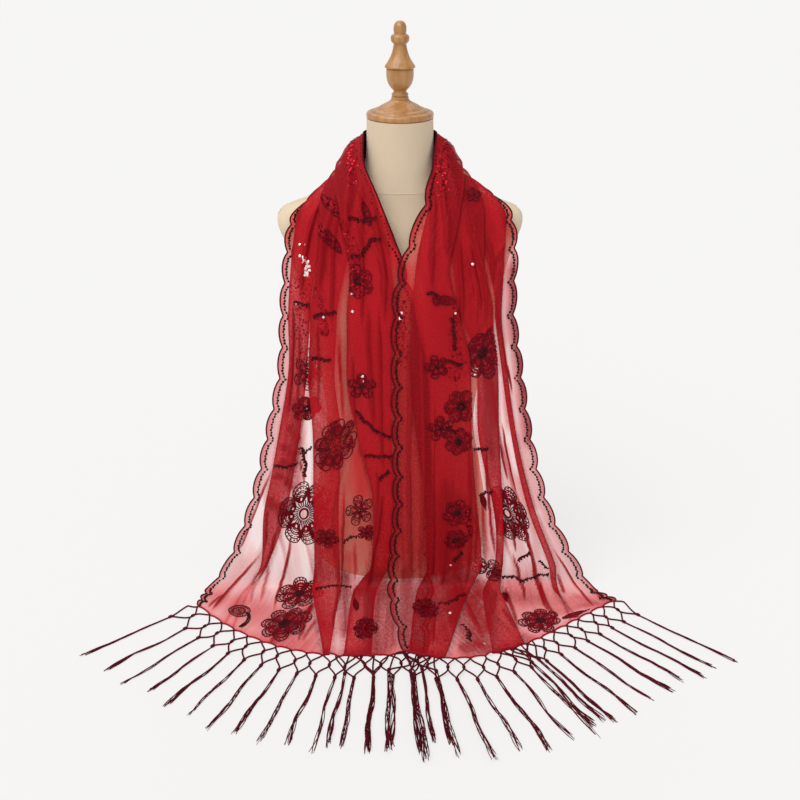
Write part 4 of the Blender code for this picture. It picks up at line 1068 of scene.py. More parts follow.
# Further creases that keep to the cut, on both halves: place across the cut at the upper and at the
# lower end, these ends as shares of the way from the nape to the hem, then as above.
HIDDEN_CREASES = [
    (0.080, 0.090, 0.00, 0.30, 0.0030, 0.0045, 0.8), (0.150, 0.135, 0.02, 0.34, 0.0034, 0.0050, 0.6),
    (0.215, 0.240, 0.00, 0.28, 0.0030, 0.0040, 0.9), (0.290, 0.270, 0.03, 0.36, 0.0030, 0.0050, 0.6),
    (0.350, 0.365, 0.00, 0.24, 0.0034, 0.0045, 0.8), (0.405, 0.395, 0.05, 0.33, 0.0028, 0.0040, 0.7),
    (0.455, 0.462, 0.00, 0.30, 0.0030, 0.0045, 0.9),
    (0.050, 0.046, 0.62, 0.93, 0.0022, 0.0030, 0.7), (0.105, 0.096, 0.74, 1.00, 0.0026, 0.0032, 0.9),
    (0.140, 0.150, 0.45, 0.80, 0.0020, 0.0030, 0.5), (0.170, 0.160, 0.80, 1.00, 0.0024, 0.0026, 1.1),
    (0.225, 0.215, 0.50, 0.92, 0.0022, 0.0034, 0.6), (0.262, 0.256, 0.78, 1.00, 0.0026, 0.0028, 0.9),
    (0.310, 0.322, 0.40, 0.70, 0.0022, 0.0030, 0.7), (0.345, 0.335, 0.70, 0.98, 0.0026, 0.0028, 0.9),
    (0.388, 0.380, 0.48, 0.86, 0.0024, 0.0026, 0.8), (0.430, 0.425, 0.42, 0.74, 0.0026, 0.0024, 0.9),
]
# the crowding of narrow creases is partly painted shade of the fold
NARROW_GAIN = 1.3  # on the crowding of all narrow creases
JUMP = 0.030  # a path in the cut is broken where it leaps across by more
SIGHT_STEP = 5  # pixels between two lines of sight along a crease


def find_creases():
    """All creases: path in the cut (across, along), height, half width, thread density with painted shade."""
    found = []
    for pixels, height, half_width, crowd_and_shade in SHOWN_CREASES:
        crowd_and_shade *= NARROW_GAIN if half_width < BROAD else 1.0
        fine = []
        for (x0, y0), (x1, y1) in zip(pixels[:-1], pixels[1:]):
            count = max(2, int(math.hypot(x1 - x0, y1 - y0) / SIGHT_STEP))
            fine += [(x0 + (x1 - x0) * k / count, y0 + (y1 - y0) * k / count) for k in range(count)]
        spots = [spot for spot in (seen_in_cut(*p) for p in (*fine, pixels[-1])) if spot]
        pieces, current = [], spots[:1]
        for last, new in zip(spots[:-1], spots[1:]):
            if abs(new[0] - last[0]) > JUMP or new[1] * last[1] < 0:
                pieces.append(current)
                current = []
            current.append(new)
        longest = max([*pieces, current], key=len)
        if len(longest) > 1:
            found.append((np.array(longest), height, half_width, crowd_and_shade))
    for above, below, start, end, height, half_width, crowd_and_shade in HIDDEN_CREASES:
        for half, side in ((LEFT, 1), (RIGHT, -1)):
            path = np.array([(above, side * start * half.length), (below, side * end * half.length)])
            found.append((path, height, half_width, crowd_and_shade))
    return found


print(f"{len(SHOWN_CREASES)} creases that show, {2 * len(HIDDEN_CREASES)} placed in the cut")

# %% Lay the sheet
STEEPEST = 0.30  # cosine past which a fold gets no denser
THINNEST = 0.28  # share of the threads left where the cloth is stretched
CROSSES_FROM = 4  # section (the upper chest) from which one half can lie over the other
# the added layers deepen the red there as painted shade
OTHER_LAYERS = 3.0  # that the other half adds where the two cross
CROSSING_SOFT = 0.004  # to each side of the other half's edge


def grid_normals(points):
    across = np.gradient(points, axis=1)
    along = np.gradient(points, axis=0)
    normal = np.cross(across, along)
    return normal / np.maximum(np.linalg.norm(normal, axis=2), 1e-12)[..., None]


def set_value(mesh, name, values):
    """A value for each point of a mesh."""
    layer = mesh.attributes.new(name, "FLOAT", "POINT")
    layer.data.foreach_set("value", np.asarray(values, np.float32).ravel())


POINTS, CUT, LAYERS, MACRO, DEVELOPED, CROWDING_AND_SHADE = lay_sheet(find_creases())
NORMALS = grid_normals(POINTS)
facing_out = np.sum(NORMALS * MACRO, axis=2)
steepness = 1 / np.maximum(STEEPEST, np.abs(facing_out))
# closeness carries the threads' real density and, through the creases, painted shade
closeness_and_shade = steepness * (CUT_WIDTH / DEVELOPED)[:, None] * np.maximum(1 + CROWDING_AND_SHADE, THINNEST)
for r, s in enumerate(ALONG):
    own, other, side = (LEFT, RIGHT, -1.0) if s >= 0 else (RIGHT, LEFT, 1.0)
    if own.along[CROSSES_FROM] < abs(s):
        other_edge = -other.columns(min(abs(s), other.length))[0][0]
        beyond = smoothstep(other_edge - CROSSING_SOFT, other_edge + CROSSING_SOFT, POINTS[r, :, 0] * side)
        LAYERS[r] += OTHER_LAYERS * (1 - beyond)

cloth = add_mesh("stole_cloth", POINTS.reshape(-1, 3), sheet_faces.tolist())
set_value(cloth.data, "closeness_and_shade", closeness_and_shade)
set_value(cloth.data, "layers", LAYERS)
uv_points = np.stack([CUT, np.broadcast_to(ALONG[:, None] + RIGHT.length, CUT.shape)], axis=2) / UV_METRES
set_uv(cloth.data, "cloth", uv_points.reshape(-1, 2)[sheet_faces.ravel()])
cloth_tree = sight_tree()
print("do the normals face outwards:", float(facing_out[:, 3].mean()) > 0)
print(f"sheet: {len(sheet_faces)} faces, closeness {closeness_and_shade.min():.2f} to {closeness_and_shade.max():.2f}, "
      f"layers up to {LAYERS.max():.1f}")

# %% [markdown]
# ## Sheer mesh
# The cloth is knitted mesh: thread and gaps. Far off, the gaps only thin its colour, so the
# finish is an Alpha that grows with the sheet's own closeness, with fine cells and long uneven
# threads worked in. The colour paints light and shade: thin cloth gets a clear light red as painted
# light let through the threads, and where threads crowd or layers lie on each other the red deepens
# as painted shade.

# %% Sheer finish
# painted light and shade: a lighter red where the cloth is thin, a deeper red where it stacks
LIT_THROUGH_RED = (0.95, 0.055, 0.065, 1.0)
MID_RED = (0.68, 0.012, 0.022, 1.0)
STACKED_SHADE_RED = (0.30, 0.003, 0.008, 1.0)
ONE_LAYER = 0.52  # how much of the view one plain layer covers
CELLS = 900.0  # mesh cells to a metre
MOTTLE = 280.0  # blotches to a metre where layers of mesh show through each other


def make_sheer():
    made, shader = plain_material("sheer_red", MID_RED, 0.6, Specular_IOR_Level=0.10)
    tree = made.node_tree
    cut = node(tree, "ShaderNodeUVMap", uv_map="cloth").outputs[0]
    turned_cut = node(tree, "ShaderNodeMapping", Rotation=(math.pi / 2, 0.0, 0.0), Vector=cut).outputs[0]
    cells = use_group(tree, WOVEN, cut, Threads_per_metre=CELLS * UV_METRES, Unevenness=0.5)
    threads = use_group(tree, STREAKS, turned_cut, Fineness=300.0, Stretch=60.0, Bend=0.1)
    broad = use_group(tree, STREAKS, turned_cut, Fineness=70.0, Stretch=14.0, Bend=0.3)
    blotch = node(tree, "ShaderNodeTexNoise", Vector=cut, Scale=MOTTLE * UV_METRES, Detail=2.0)
    uneven = maths(tree, "ADD", remap(tree, threads.outputs[0], 0.3, 0.7, 0.84, 1.16),
                   remap(tree, broad.outputs[0], 0.3, 0.7, -0.24, 0.24))
    knit = remap(tree, cells.outputs["Tone"], 0.0, 1.0, 0.90, 1.10)
    layers = node(tree, "ShaderNodeAttribute", attribute_name="layers").outputs["Fac"]
    spots = maths(tree, "MULTIPLY", remap(tree, blotch.outputs["Fac"], 0.35, 0.65, -0.24, 0.24),
                  remap(tree, layers, 1.2, 3.0, 0.1, 1.0))
    spotted = maths(tree, "ADD", 1.0, spots)
    # closeness, which carries painted shade from the creases as well as thread density
    close = node(tree, "ShaderNodeAttribute", attribute_name="closeness_and_shade").outputs["Fac"]
    power = maths(tree, "MULTIPLY", maths(tree, "MULTIPLY", uneven, knit),
                  maths(tree, "MULTIPLY", close, spotted))
    gap = maths(tree, "POWER", 1 - ONE_LAYER, power)
    feed(tree, shader.inputs["Alpha"], maths(tree, "SUBTRACT", 1.0, gap))
    # the red lightens as painted light through thin cloth and deepens as painted shade with layers and
    # crowded threads
    depth = maths(tree, "MULTIPLY", power, layers)
    lighter = blend(tree, remap(tree, depth, 0.25, 1.1, 0.0, 1.0), LIT_THROUGH_RED, MID_RED)
    colour = blend(tree, remap(tree, depth, 1.4, 8.0, 0.0, 1.0), lighter, STACKED_SHADE_RED)
    feed(tree, shader.inputs["Base Color"], colour)
    bump(tree, cells.outputs["Height"], shader, 0.25, 0.0003)
    return made


sheer = make_sheer()
cloth.data.materials.append(sheer)
print("the sheer finish has", len(sheer.node_tree.nodes), "nodes")

# %% [markdown]
# ## Working in the cut
# An embroiderer works on the flat cloth, before it is worn, so every stitch below is given in the
# cut: how far across from the neck edge and how far along from the nape. The sheet's own points
# then carry it into place, and a flower that falls on a pleat folds away with it.

# %% From the cut to the cloth
rng = np.random.default_rng(7)


def on_cloth(across, along, lift=0.0, reach=0.0):
    """Points on the sheet at places of the cut, lifted off its face, and its direction there.

    What is sewn there goes down by reach, and the table holds it up.
    """
    across, along = np.atleast_1d(across).astype(float), np.atleast_1d(along).astype(float)
    across, along = np.broadcast_arrays(np.clip(across, 0, CUT_WIDTH), along)
    row = np.clip(np.searchsorted(ALONG, along) - 1, 0, ROWS - 2)
    share = np.clip((along - ALONG[row]) / (ALONG[row + 1] - ALONG[row]), 0, 1)[:, None]

    def at(rows):
        column = np.array([np.searchsorted(CUT[r], a) for r, a in zip(rows, across)])
        column = np.clip(column - 1, 0, COLUMNS - 2)
        left, right = CUT[rows, column], CUT[rows, column + 1]
        part = np.clip((across - left) / (right - left), 0, 1)[:, None]
        return (POINTS[rows, column] * (1 - part) + POINTS[rows, column + 1] * part,
                NORMALS[rows, column] * (1 - part) + NORMALS[rows, column + 1] * part)

    (near, near_way), (far, far_way) = at(row), at(row + 1)
    way = near_way * (1 - share) + far_way * share
    way /= np.maximum(np.linalg.norm(way, axis=1), 1e-9)[:, None]
    points = near * (1 - share) + far * share + way * lift
    points[:, 2] = np.maximum(points[:, 2], reach)
    return points, way


nape, _ = on_cloth(CUT_WIDTH / 2, 0.0)
print("the middle of the cut at the nape lies at", nape[0].round(3))

# %% [markdown]
# ## Cords and sown pieces
# Two kinds of Geometry Nodes trees make nearly everything that is stitched on. *Cord* turns every
# chain of edges into a round cord, whose radius follows a value on its points. *Sown* trees set a
# small shape on each point, turned to face its own way. All end by making the instances real and
# setting the finish, and the result is kept as a plain mesh.

# %% Geometry Nodes trees


def geometry_tree(name, inputs):
    tree = bpy.data.node_groups.new(name, "GeometryNodeTree")
    tree.interface.new_socket("Geometry", in_out="INPUT", socket_type="NodeSocketGeometry")
    for label, (kind, value) in inputs.items():
        socket = tree.interface.new_socket(label, in_out="INPUT", socket_type=kind)
        if value is not None:
            socket.default_value = value
    tree.interface.new_socket("Geometry", in_out="OUTPUT", socket_type="NodeSocketGeometry")
    return tree, tree.nodes.new("NodeGroupInput"), tree.nodes.new("NodeGroupOutput")


def end_tree(tree, start, end, geometry):
    """Smooth, real and finished: the last steps of every tree."""
    smooth = node(tree, "GeometryNodeSetShadeSmooth", Geometry=geometry)
    real = node(tree, "GeometryNodeRealizeInstances", Geometry=smooth.outputs[0])
    painted = node(tree, "GeometryNodeSetMaterial", Geometry=real.outputs[0],
                   Material=start.outputs["Finish"])
    feed(tree, end.inputs["Geometry"], painted.outputs[0])
    return tree


def named_value(tree, name, kind="FLOAT"):
    """The value of that name on each point of the source mesh."""
    return node(tree, "GeometryNodeInputNamedAttribute", data_type=kind, Name=name).outputs[0]


def make_cord_tree():
    """Sweeps a round outline along every chain of edges."""
    tree, start, end = geometry_tree("cord", {
        "Radius": ("NodeSocketFloat", 0.001), "Sides": ("NodeSocketInt", 6),
        "Finish": ("NodeSocketMaterial", None)})
    chain = node(tree, "GeometryNodeMeshToCurve", Mesh=start.outputs["Geometry"])
    outline = node(tree, "GeometryNodeCurvePrimitiveCircle", Resolution=start.outputs["Sides"],
                   Radius=start.outputs["Radius"])
    sweep = node(tree, "GeometryNodeCurveToMesh", Curve=chain.outputs[0], Profile_Curve=outline.outputs[0],
                 Scale=named_value(tree, "thick"), Fill_Caps=True)
    return end_tree(tree, start, end, sweep.outputs[0])


def make_sown_tree(name, shape, **settings):
    """Sets the shape that a primitive node makes on each point of a mesh."""
    tree, start, end = geometry_tree(name, {
        "Radius": ("NodeSocketFloat", 0.0015), "Finish": ("NodeSocketMaterial", None)})
    made = node(tree, shape, **settings)
    turn = node(tree, "FunctionNodeAlignRotationToVector", axis="Z",
                Vector=named_value(tree, "facing", "FLOAT_VECTOR"))
    scale = maths(tree, "MULTIPLY", named_value(tree, "size"), start.outputs["Radius"])
    sow = node(tree, "GeometryNodeInstanceOnPoints", Points=start.outputs["Geometry"],
               Instance=made.outputs[0], Rotation=turn.outputs[0], Scale=scale)
    return end_tree(tree, start, end, sow.outputs[0])


def grown(name, source, tree, **values):
    """The plain mesh object that a tree makes from a source mesh."""
    holder = bpy.data.objects.new(name + "_source", source)
    bpy.context.scene.collection.objects.link(holder)
    modifier = holder.modifiers.new("tree", "NODES")
    modifier.node_group = tree
    for socket in tree.interface.items_tree:
        if socket.in_out == "INPUT" and socket.name in values:
            modifier[socket.identifier] = values[socket.name]
    ready = bpy.context.evaluated_depsgraph_get()
    mesh = bpy.data.meshes.new_from_object(holder.evaluated_get(ready), preserve_all_data_layers=True,
                                           depsgraph=ready)
    bpy.data.objects.remove(holder)
    mesh.name = name
    made = bpy.data.objects.new(name, mesh)
    bpy.context.scene.collection.objects.link(made)
    print(f"{name}: {len(mesh.polygons)} faces")
    return made


CORD = make_cord_tree()
SEQUIN = make_sown_tree("sequin", "GeometryNodeMeshCone", fill_type="NONE", Vertices=8,
                        Radius_Top=0.0, Radius_Bottom=1.0, Depth=0.22)
BEAD = make_sown_tree("bead", "GeometryNodeMeshIcoSphere", Radius=1.0, Subdivisions=1)


def chains_mesh(name, chains):
    """A mesh of edge chains; each chain is its points and a thickness, or one for each point."""
    points, edges, thick = [], [], []
    for line, width in chains:
        base = len(points)
        points += list(line)
        edges += [(base + i, base + i + 1) for i in range(len(line) - 1)]
        thick += list(np.broadcast_to(width, len(line)))
    mesh = bpy.data.meshes.new(name)
    mesh.from_pydata([tuple(map(float, p)) for p in points], edges, [])
    set_value(mesh, "thick", thick)
    return mesh


def points_mesh(name, points, facing, size, tint):
    """A mesh of loose points, each with the way it faces, a size and a tint."""
    mesh = bpy.data.meshes.new(name)
    mesh.from_pydata([tuple(map(float, p)) for p in points], [], [])
    mesh.attributes.new("facing", "FLOAT_VECTOR", "POINT").data.foreach_set(
        "vector", np.asarray(facing, np.float32).ravel())
    set_value(mesh, "size", np.broadcast_to(size, len(points)))
    set_value(mesh, "tint", np.broadcast_to(tint, len(points)))
    return mesh

# %% [markdown]
# ## Cord, bead and sequin finishes
# The edge cord and the fringe are dull rayon in dark wine, with a fine uneven fibre; the hem's
# binding and the petals' cords are the same yarn in redder tones. Beads are small dark glass,
# nearly black with a red depth. Sequins are foil: a dark mirror of red whose tint changes from
# one to the next. A few are pale, as painted glints where a sparkle shows; for the rest their tilt
# does the sparkling, so the finish itself only needs a low roughness.

# %% Trim finishes
WINE, WINE_LIGHT = (0.040, 0.003, 0.006, 1.0), (0.13, 0.008, 0.016, 1.0)
BINDING, BINDING_LIGHT = (0.18, 0.005, 0.012, 1.0), (0.40, 0.012, 0.026, 1.0)
PETAL, PETAL_LIGHT = (0.070, 0.003, 0.007, 1.0), (0.22, 0.007, 0.014, 1.0)
BEAD_DARK, BEAD_RED = (0.032, 0.001, 0.003, 1.0), (0.16, 0.004, 0.008, 1.0)
FOIL_DARK, FOIL_RED = (0.16, 0.003, 0.007, 1.0), (0.50, 0.012, 0.026, 1.0)
# the pale foil colour and the tints above the threshold are painted glints
FOIL_GLINT = (0.95, 0.78, 0.76, 1.0)
GLINT_FROM = 0.96  # tint above which a sequin is pale


def make_yarn(name, dark, light):
    """Dull fibre, mottled between a dark and a lighter tone."""
    made, shader = plain_material(name, dark, 0.75, Specular_IOR_Level=0.06)
    tree = made.node_tree
    place = node(tree, "ShaderNodeTexCoord").outputs["Object"]
    fibre = node(tree, "ShaderNodeTexNoise", Vector=place, Scale=900.0, Detail=3.0).outputs["Fac"]
    feed(tree, shader.inputs["Base Color"],
         blend(tree, remap(tree, fibre, 0.35, 0.7, 0.0, 1.0), dark, light))
    bump(tree, fibre, shader, 0.5, 0.0004)
    return made


def make_tinted(name, colour, steps, roughness, **values):
    """A finish whose colour follows each small piece's own tint, in steps of (from, to, colour)."""
    made, shader = plain_material(name, colour, roughness, **values)
    tree = made.node_tree
    tint = node(tree, "ShaderNodeAttribute", attribute_name="tint").outputs["Fac"]
    for low, high, other in steps:
        colour = blend(tree, remap(tree, tint, low, high, 0.0, 1.0), colour, other)
    feed(tree, shader.inputs["Base Color"], colour)
    return made


yarn = make_yarn("wine_yarn", WINE, WINE_LIGHT)
binding_yarn = make_yarn("binding_yarn", BINDING, BINDING_LIGHT)
petal_yarn = make_yarn("petal_yarn", PETAL, PETAL_LIGHT)
glass = make_tinted("dark_glass_bead", BEAD_DARK, [(0.3, 1.0, BEAD_RED)], 0.3,
                    Specular_IOR_Level=0.10, Coat_Weight=0.04)
# the palest tints give painted glints
foil = make_tinted("sequin_foil", FOIL_DARK,
                   [(0.25, 0.9, FOIL_RED), (GLINT_FROM, GLINT_FROM + 0.01, FOIL_GLINT)], 0.32,
                   Metallic=0.75, Specular_IOR_Level=0.15)
print("trim finishes:", ", ".join(made.name for made in (yarn, binding_yarn, petal_yarn, glass, foil)))

# %% [markdown]
# ## The scalloped edges
# Both long edges are cut in scallops and bound with a dark cord. Behind the cord runs a dotted
# row of beads on a thread, which keeps to the scallop and dips to a small point at each notch.
# Cord, thread and beads all follow the sheet, so they show again on every fold.

# %% Edge cords and bead rows
EDGE_CORD = 0.0012  # radii
ROW_THREAD = 0.0005
HEM_CORD = 0.0014
BEAD_RADIUS = 0.00215
BEAD_LIFT = 0.6  # of a bead's middle off the cloth, in its own radius
CORD_STEP = 0.0034
BEAD_STEP = 0.0045
BEAD_JITTER = 0.0004  # by which every other bead stands in or out of its row
ROW_INSET = 0.0074  # of the bead row from the middle of the scallops
NOTCH_DIP = 0.0035
NOTCH_REACH = 0.0045
HEM_POINTS = 220


def row_inset(s):
    """How far the bead row lies from the long edge."""
    to_notch = np.abs((s + SCALLOP_PITCH / 2) % SCALLOP_PITCH - SCALLOP_PITCH / 2)
    return ROW_INSET - 0.5 * scallop(s) + NOTCH_DIP * np.exp(-(to_notch / NOTCH_REACH) ** 2)


def along_edge(near_neck, places, inset, lift, reach=0.0):
    """Points and directions of a row along one long edge; it changes face where the edge is turned under."""
    face = 2 * edge_free(places)[:, None] - 1 if near_neck else 1.0
    return on_cloth(inset if near_neck else CUT_WIDTH - inset, places, lift * face, reach)


cord_places = np.arange(ALONG[0], ALONG[-1], CORD_STEP)
bead_places = np.arange(ALONG[0] + BEAD_STEP, ALONG[-1], BEAD_STEP)
edge_lines, thread_lines, bead_rows = [], [], []
for near_neck in (True, False):
    edge_lines.append((along_edge(near_neck, cord_places, 0.0, 0.0, EDGE_CORD)[0], 1.0))
    thread_lines.append((along_edge(near_neck, cord_places, row_inset(cord_places), ROW_THREAD)[0], 1.0))
    inset = row_inset(bead_places) + BEAD_JITTER * (-1.0) ** np.arange(len(bead_places))
    bead_rows.append(along_edge(near_neck, bead_places, inset, BEAD_LIFT * BEAD_RADIUS, BEAD_RADIUS))
hem_lines = [(on_cloth(np.linspace(0, CUT_WIDTH, HEM_POINTS), end, 0.0, HEM_CORD)[0], 1.0)
             for end in (ALONG[0], ALONG[-1])]
edge_cords = grown("edge_cords", chains_mesh("edges", edge_lines), CORD, Radius=EDGE_CORD, Sides=7,
                   Finish=yarn)
hem_cords = grown("hem_cords", chains_mesh("hems", hem_lines), CORD, Radius=HEM_CORD, Sides=6,
                  Finish=binding_yarn)
edge_threads = grown("edge_threads", chains_mesh("threads", thread_lines), CORD, Radius=ROW_THREAD, Sides=4,
                     Finish=yarn)
bead_points, bead_ways = (np.concatenate(rows) for rows in zip(*bead_rows))
bead_sizes = 0.85 + 0.25 * rng.random(len(bead_points))
bead_tints = 0.5 * rng.random(len(bead_points))
edge_beads = grown("edge_beads", points_mesh("beads", bead_points, bead_ways, bead_sizes, bead_tints),
                   BEAD, Radius=BEAD_RADIUS, Finish=glass)
print(f"{len(bead_points)} beads along the two edges")

# %% [markdown]
# ## Sequinned flowers
# The embroidery is a set of ordinary motifs strewn over the cut: open flowers whose petals are
# nested loops of cord round a bare ring, dense rosettes of sequins sewn in rings, small flowers,
# leaves, curls, and thin vines of beads. Each motif is drawn once, about its own middle, by a
# short function; a table then says which one shows where, how large and how turned.

# %% One motif at a time
PETAL_POINTS = 15
SEQUIN_PITCH = 0.0027
RING_GAP = 0.0026


class Stitching:
    """Everything stitched on, in the cut: cords, beads and sequins."""

    def __init__(self):
        self.cords, self.beads, self.sequins = [], [], []

    def cord(self, line, width=1.0):
        self.cords.append((np.asarray(line, float), width))

    def bead(self, points):
        self.beads += [tuple(p) for p in points]

    def sequin(self, points, tint):
        """Sequins with tints spread over a range, given as its two ends."""
        for p in points:
            self.sequins.append((*p, rng.uniform(*tint)))


def loop(turn, root, tip, width, size=1.0):
    """A petal's outline, out from the flower's heart and back."""
    t = np.linspace(0, 2 * np.pi, PETAL_POINTS)
    out = root + (tip - root) * size * (1 - np.cos(t)) / 2
    side = size * width / 2 * np.sin(t) * (0.55 + 0.55 * (1 - np.cos(t)) / 2)
    c, s = math.cos(turn), math.sin(turn)
    return np.stack([out * c - side * s, out * s + side * c], axis=1)


def ring(radius, count, start=0.0):
    angle = start + 2 * np.pi * np.arange(count) / count
    return np.stack([radius * np.cos(angle), radius * np.sin(angle)], axis=1)


def closed_ring(radius, count):
    points = ring(radius, count)
    return np.vstack([points, points[:1]])


def petal(work, turn, root, tip, width, tint):
    """One petal: nested loops of cord, with sequins close between them."""
    for size in (1.0, 0.80, 0.58, 0.36):
        work.cord(loop(turn, root, tip, width, size), 1.15)
    for size in (0.90, 0.69, 0.47, 0.25):
        work.sequin(loop(turn, root + 0.001, tip, width * 0.95, size)[1:-1], tint)


def ring_flower(work):
    """A bare ring, stitches standing out from it, and nine filled petals."""
    petals, stitches = 9, 28
    work.cord(closed_ring(0.0072, 20), 1.9)
    for k in range(stitches):
        turn = 2 * math.pi * k / stitches
        start, end = (np.array([math.cos(turn + lean), math.sin(turn + lean)]) for lean in (0.0, 0.12))
        work.cord([start * 0.0100, end * 0.0195], 1.1)
    for k in range(petals):
        turn = 2 * math.pi * k / petals + 0.08 * (k % 3)
        petal(work, turn, 0.017, 0.044 + 0.004 * (k % 2), 0.030, (0.0, 0.75))


def corded_flower(work):
    """Seven open petals of nested cord with bright sequins between, round a heap of dark beads."""
    petals = 7
    for k in range(petals):
        turn, tip = 2 * math.pi * k / petals + 0.2, 0.040 + 0.003 * (k % 2)
        for size in (1.0, 0.80, 0.60, 0.40):
            work.cord(loop(turn, 0.008, tip, 0.028, size), 1.2)
        for size in (0.90, 0.78, 0.64, 0.50, 0.36, 0.22):
            work.sequin(loop(turn, 0.009, tip, 0.026, size)[1:-1], (0.1, 0.9))
    for step in range(4):
        work.bead(ring(0.002 + 0.0022 * step, 5 + 6 * step, 0.3 * step))


def rosette(work):
    """Rings of overlapping sequins with a lobed outline of looped cord."""
    sewn_rings, round_rings, lobes = 13, 9, 9
    for step in range(sewn_rings):
        radius = 0.002 + RING_GAP * step
        points = ring(radius, max(4, int(2 * math.pi * radius / SEQUIN_PITCH)), 0.2 * step)
        if step >= round_rings:
            turn = np.arctan2(points[:, 1], points[:, 0])
            points = points[0.5 + 0.5 * np.cos(6 * turn) > (step - round_rings + 1) / 5]
        work.sequin(points, (0.0, 0.8 if step % 3 else 0.35))
    for k in range(lobes):
        for size in (1.0, 0.66):
            work.cord(loop(2 * math.pi * k / lobes, 0.012, 0.034, 0.018, size), 1.1)


def small_flower(work):
    """Five petals of two loops each, filled with sequins."""
    petals = 5
    for k in range(petals):
        turn = 2 * math.pi * k / petals + 0.4
        for size in (1.0, 0.62):
            work.cord(loop(turn, 0.003, 0.019, 0.014, size), 1.0)
        work.sequin(loop(turn, 0.004, 0.018, 0.012, 0.85)[1:-1:2], (0.1, 0.8))
        work.sequin(loop(turn, 0.004, 0.018, 0.010, 0.45)[2:-2:2], (0.1, 0.9))
    work.bead(ring(0.0022, 6))


def sequin_flower(work):
    """Six plump petals of sequins with a dark heart."""
    petals, distance = 6, 0.0155
    for k in range(petals):
        turn = 2 * math.pi * k / petals
        middle = np.array([distance * math.cos(turn), distance * math.sin(turn)])
        for step in range(4):
            points = ring(0.0005 + 0.0026 * step, max(1, 6 * step), 0.4 * step)
            work.sequin(points + middle, (0.0, 0.75))
        work.cord(closed_ring(0.0098, 14) + middle, 0.9)
    work.bead(ring(0.003, 8))
    work.bead(ring(0.0055, 15))


def leaf(work):
    """A long leaf of sequins sewn slantwise to its rib."""
    length, width = 0.064, 0.020
    for along in np.arange(-length / 2, length / 2, 0.0026):
        half = width / 2 * math.cos(math.pi * along / length) ** 0.8
        for across in np.arange(-half, half + 1e-6, 0.0027):
            work.sequin([(across, along + 0.35 * abs(across))], (0.0, 0.50))
    stalk = 0.012
    work.cord([(0, -length / 2 - stalk), (0.0006, 0), (0, length / 2)], 1.1)
    t = np.linspace(-1, 1, 15)
    for side in (-1, 1):
        border = side * width * 0.55 * np.cos(np.pi / 2 * t) ** 0.8
        work.cord(np.stack([border, t * length / 2], axis=1), 1.0)


def curl(work):
    """A bud of sequins bound with cord, with a beaded tail that curls away."""
    for step in range(5):
        work.sequin(ring(0.0012 + 0.0024 * step, 4 + 5 * step, 0.5 * step), (0.0, 0.7))
    for radius in (0.0075, 0.0128):
        work.cord(closed_ring(radius, 20), 1.1)
    t = np.linspace(0, 1, 22)
    for shift in (0.0, 0.0024):
        work.bead(np.stack([0.0125 - shift + 0.008 * np.sin(2.2 * t), 0.028 * t ** 1.2], axis=1))


def strewn(work):
    """Loose single sequins along a narrow band."""
    for _ in range(120):
        work.sequin([(rng.normal(0.0, 0.008), rng.uniform(-0.075, 0.075))], (0.15, 0.95))


def glint_patch(work):
    """A short close band of pale sequins, painted glints."""
    for _ in range(44):
        work.sequin([(rng.normal(0.0, 0.0028), rng.uniform(-0.016, 0.016))], (0.94, 1.0))


MOTIFS = {motif.__name__: motif for motif in (ring_flower, corded_flower, rosette, small_flower,
                                              sequin_flower, leaf, curl, strewn, glint_patch)}
REACH = {"ring_flower": 0.045, "corded_flower": 0.043, "rosette": 0.036, "small_flower": 0.020,
         "sequin_flower": 0.024, "leaf": 0.036, "curl": 0.024, "strewn": 0.06, "glint_patch": 0.014}
print("motifs:", ", ".join(MOTIFS))

# %% Where each motif shows
# Motif, pixel of the picture where its middle shows, turn in degrees, size, height to width if not 1.
SHOWN = [
    ("leaf", 337, 215, 10, 0.95), ("leaf", 327, 240, 16, 0.85), ("glint_patch", 305, 268, 0, 1.0),
    ("strewn", 304, 335, 0, 1.1), ("sequin_flower", 357, 286, 20, 0.95),
    ("small_flower", 307, 378, 10, 1.1, 1.4), ("sequin_flower", 306, 412, 0, 0.85),
    ("small_flower", 362, 390, 30, 1.1), ("rosette", 335, 449, 0, 0.88, 1.55),
    ("ring_flower", 303, 515, 10, 0.90, 1.45), ("small_flower", 359, 512, 50, 1.1, 1.4),
    ("small_flower", 366, 534, 10, 0.8), ("small_flower", 327, 541, 0, 1.0),
    ("corded_flower", 298, 596, 15, 0.85), ("corded_flower", 284, 626, 50, 0.85),
    ("curl", 238, 613, 180, 1.4, -1.0), ("rosette", 365, 628, 0, 0.52), ("leaf", 355, 605, 10, 0.35),
    ("strewn", 350, 250, 0, 0.7), ("leaf", 366, 214, -8, 0.5), ("strewn", 322, 312, 0, 0.5),
    ("strewn", 352, 160, 0, 0.6), ("leaf", 445, 297, 85, 0.55), ("curl", 437, 299, 100, 0.55),
    ("corded_flower", 482, 350, 25, 0.85, 1.25), ("small_flower", 437, 366, 15, 1.0),
    ("small_flower", 441, 424, 0, 1.1), ("sequin_flower", 461, 406, 0, 1.1),
    ("sequin_flower", 459, 441, 20, 0.9), ("sequin_flower", 457, 511, 10, 0.95),
    ("sequin_flower", 456, 536, 0, 0.75), ("strewn", 469, 520, 0, 0.4), ("leaf", 484, 499, 12, 0.40),
    ("ring_flower", 507, 511, 10, 0.75, 1.55), ("small_flower", 489, 568, 20, 1.3),
    ("rosette", 426, 605, 0, 0.50), ("corded_flower", 541, 620, 0, 0.70), ("leaf", 573, 613, 80, 0.60),
    ("leaf", 505, 596, 10, 0.35), ("strewn", 402, 330, 0, 0.7), ("strewn", 455, 340, 0, 0.8),
    ("small_flower", 473, 191, 0, 0.6), ("strewn", 445, 165, 0, 0.6),
]
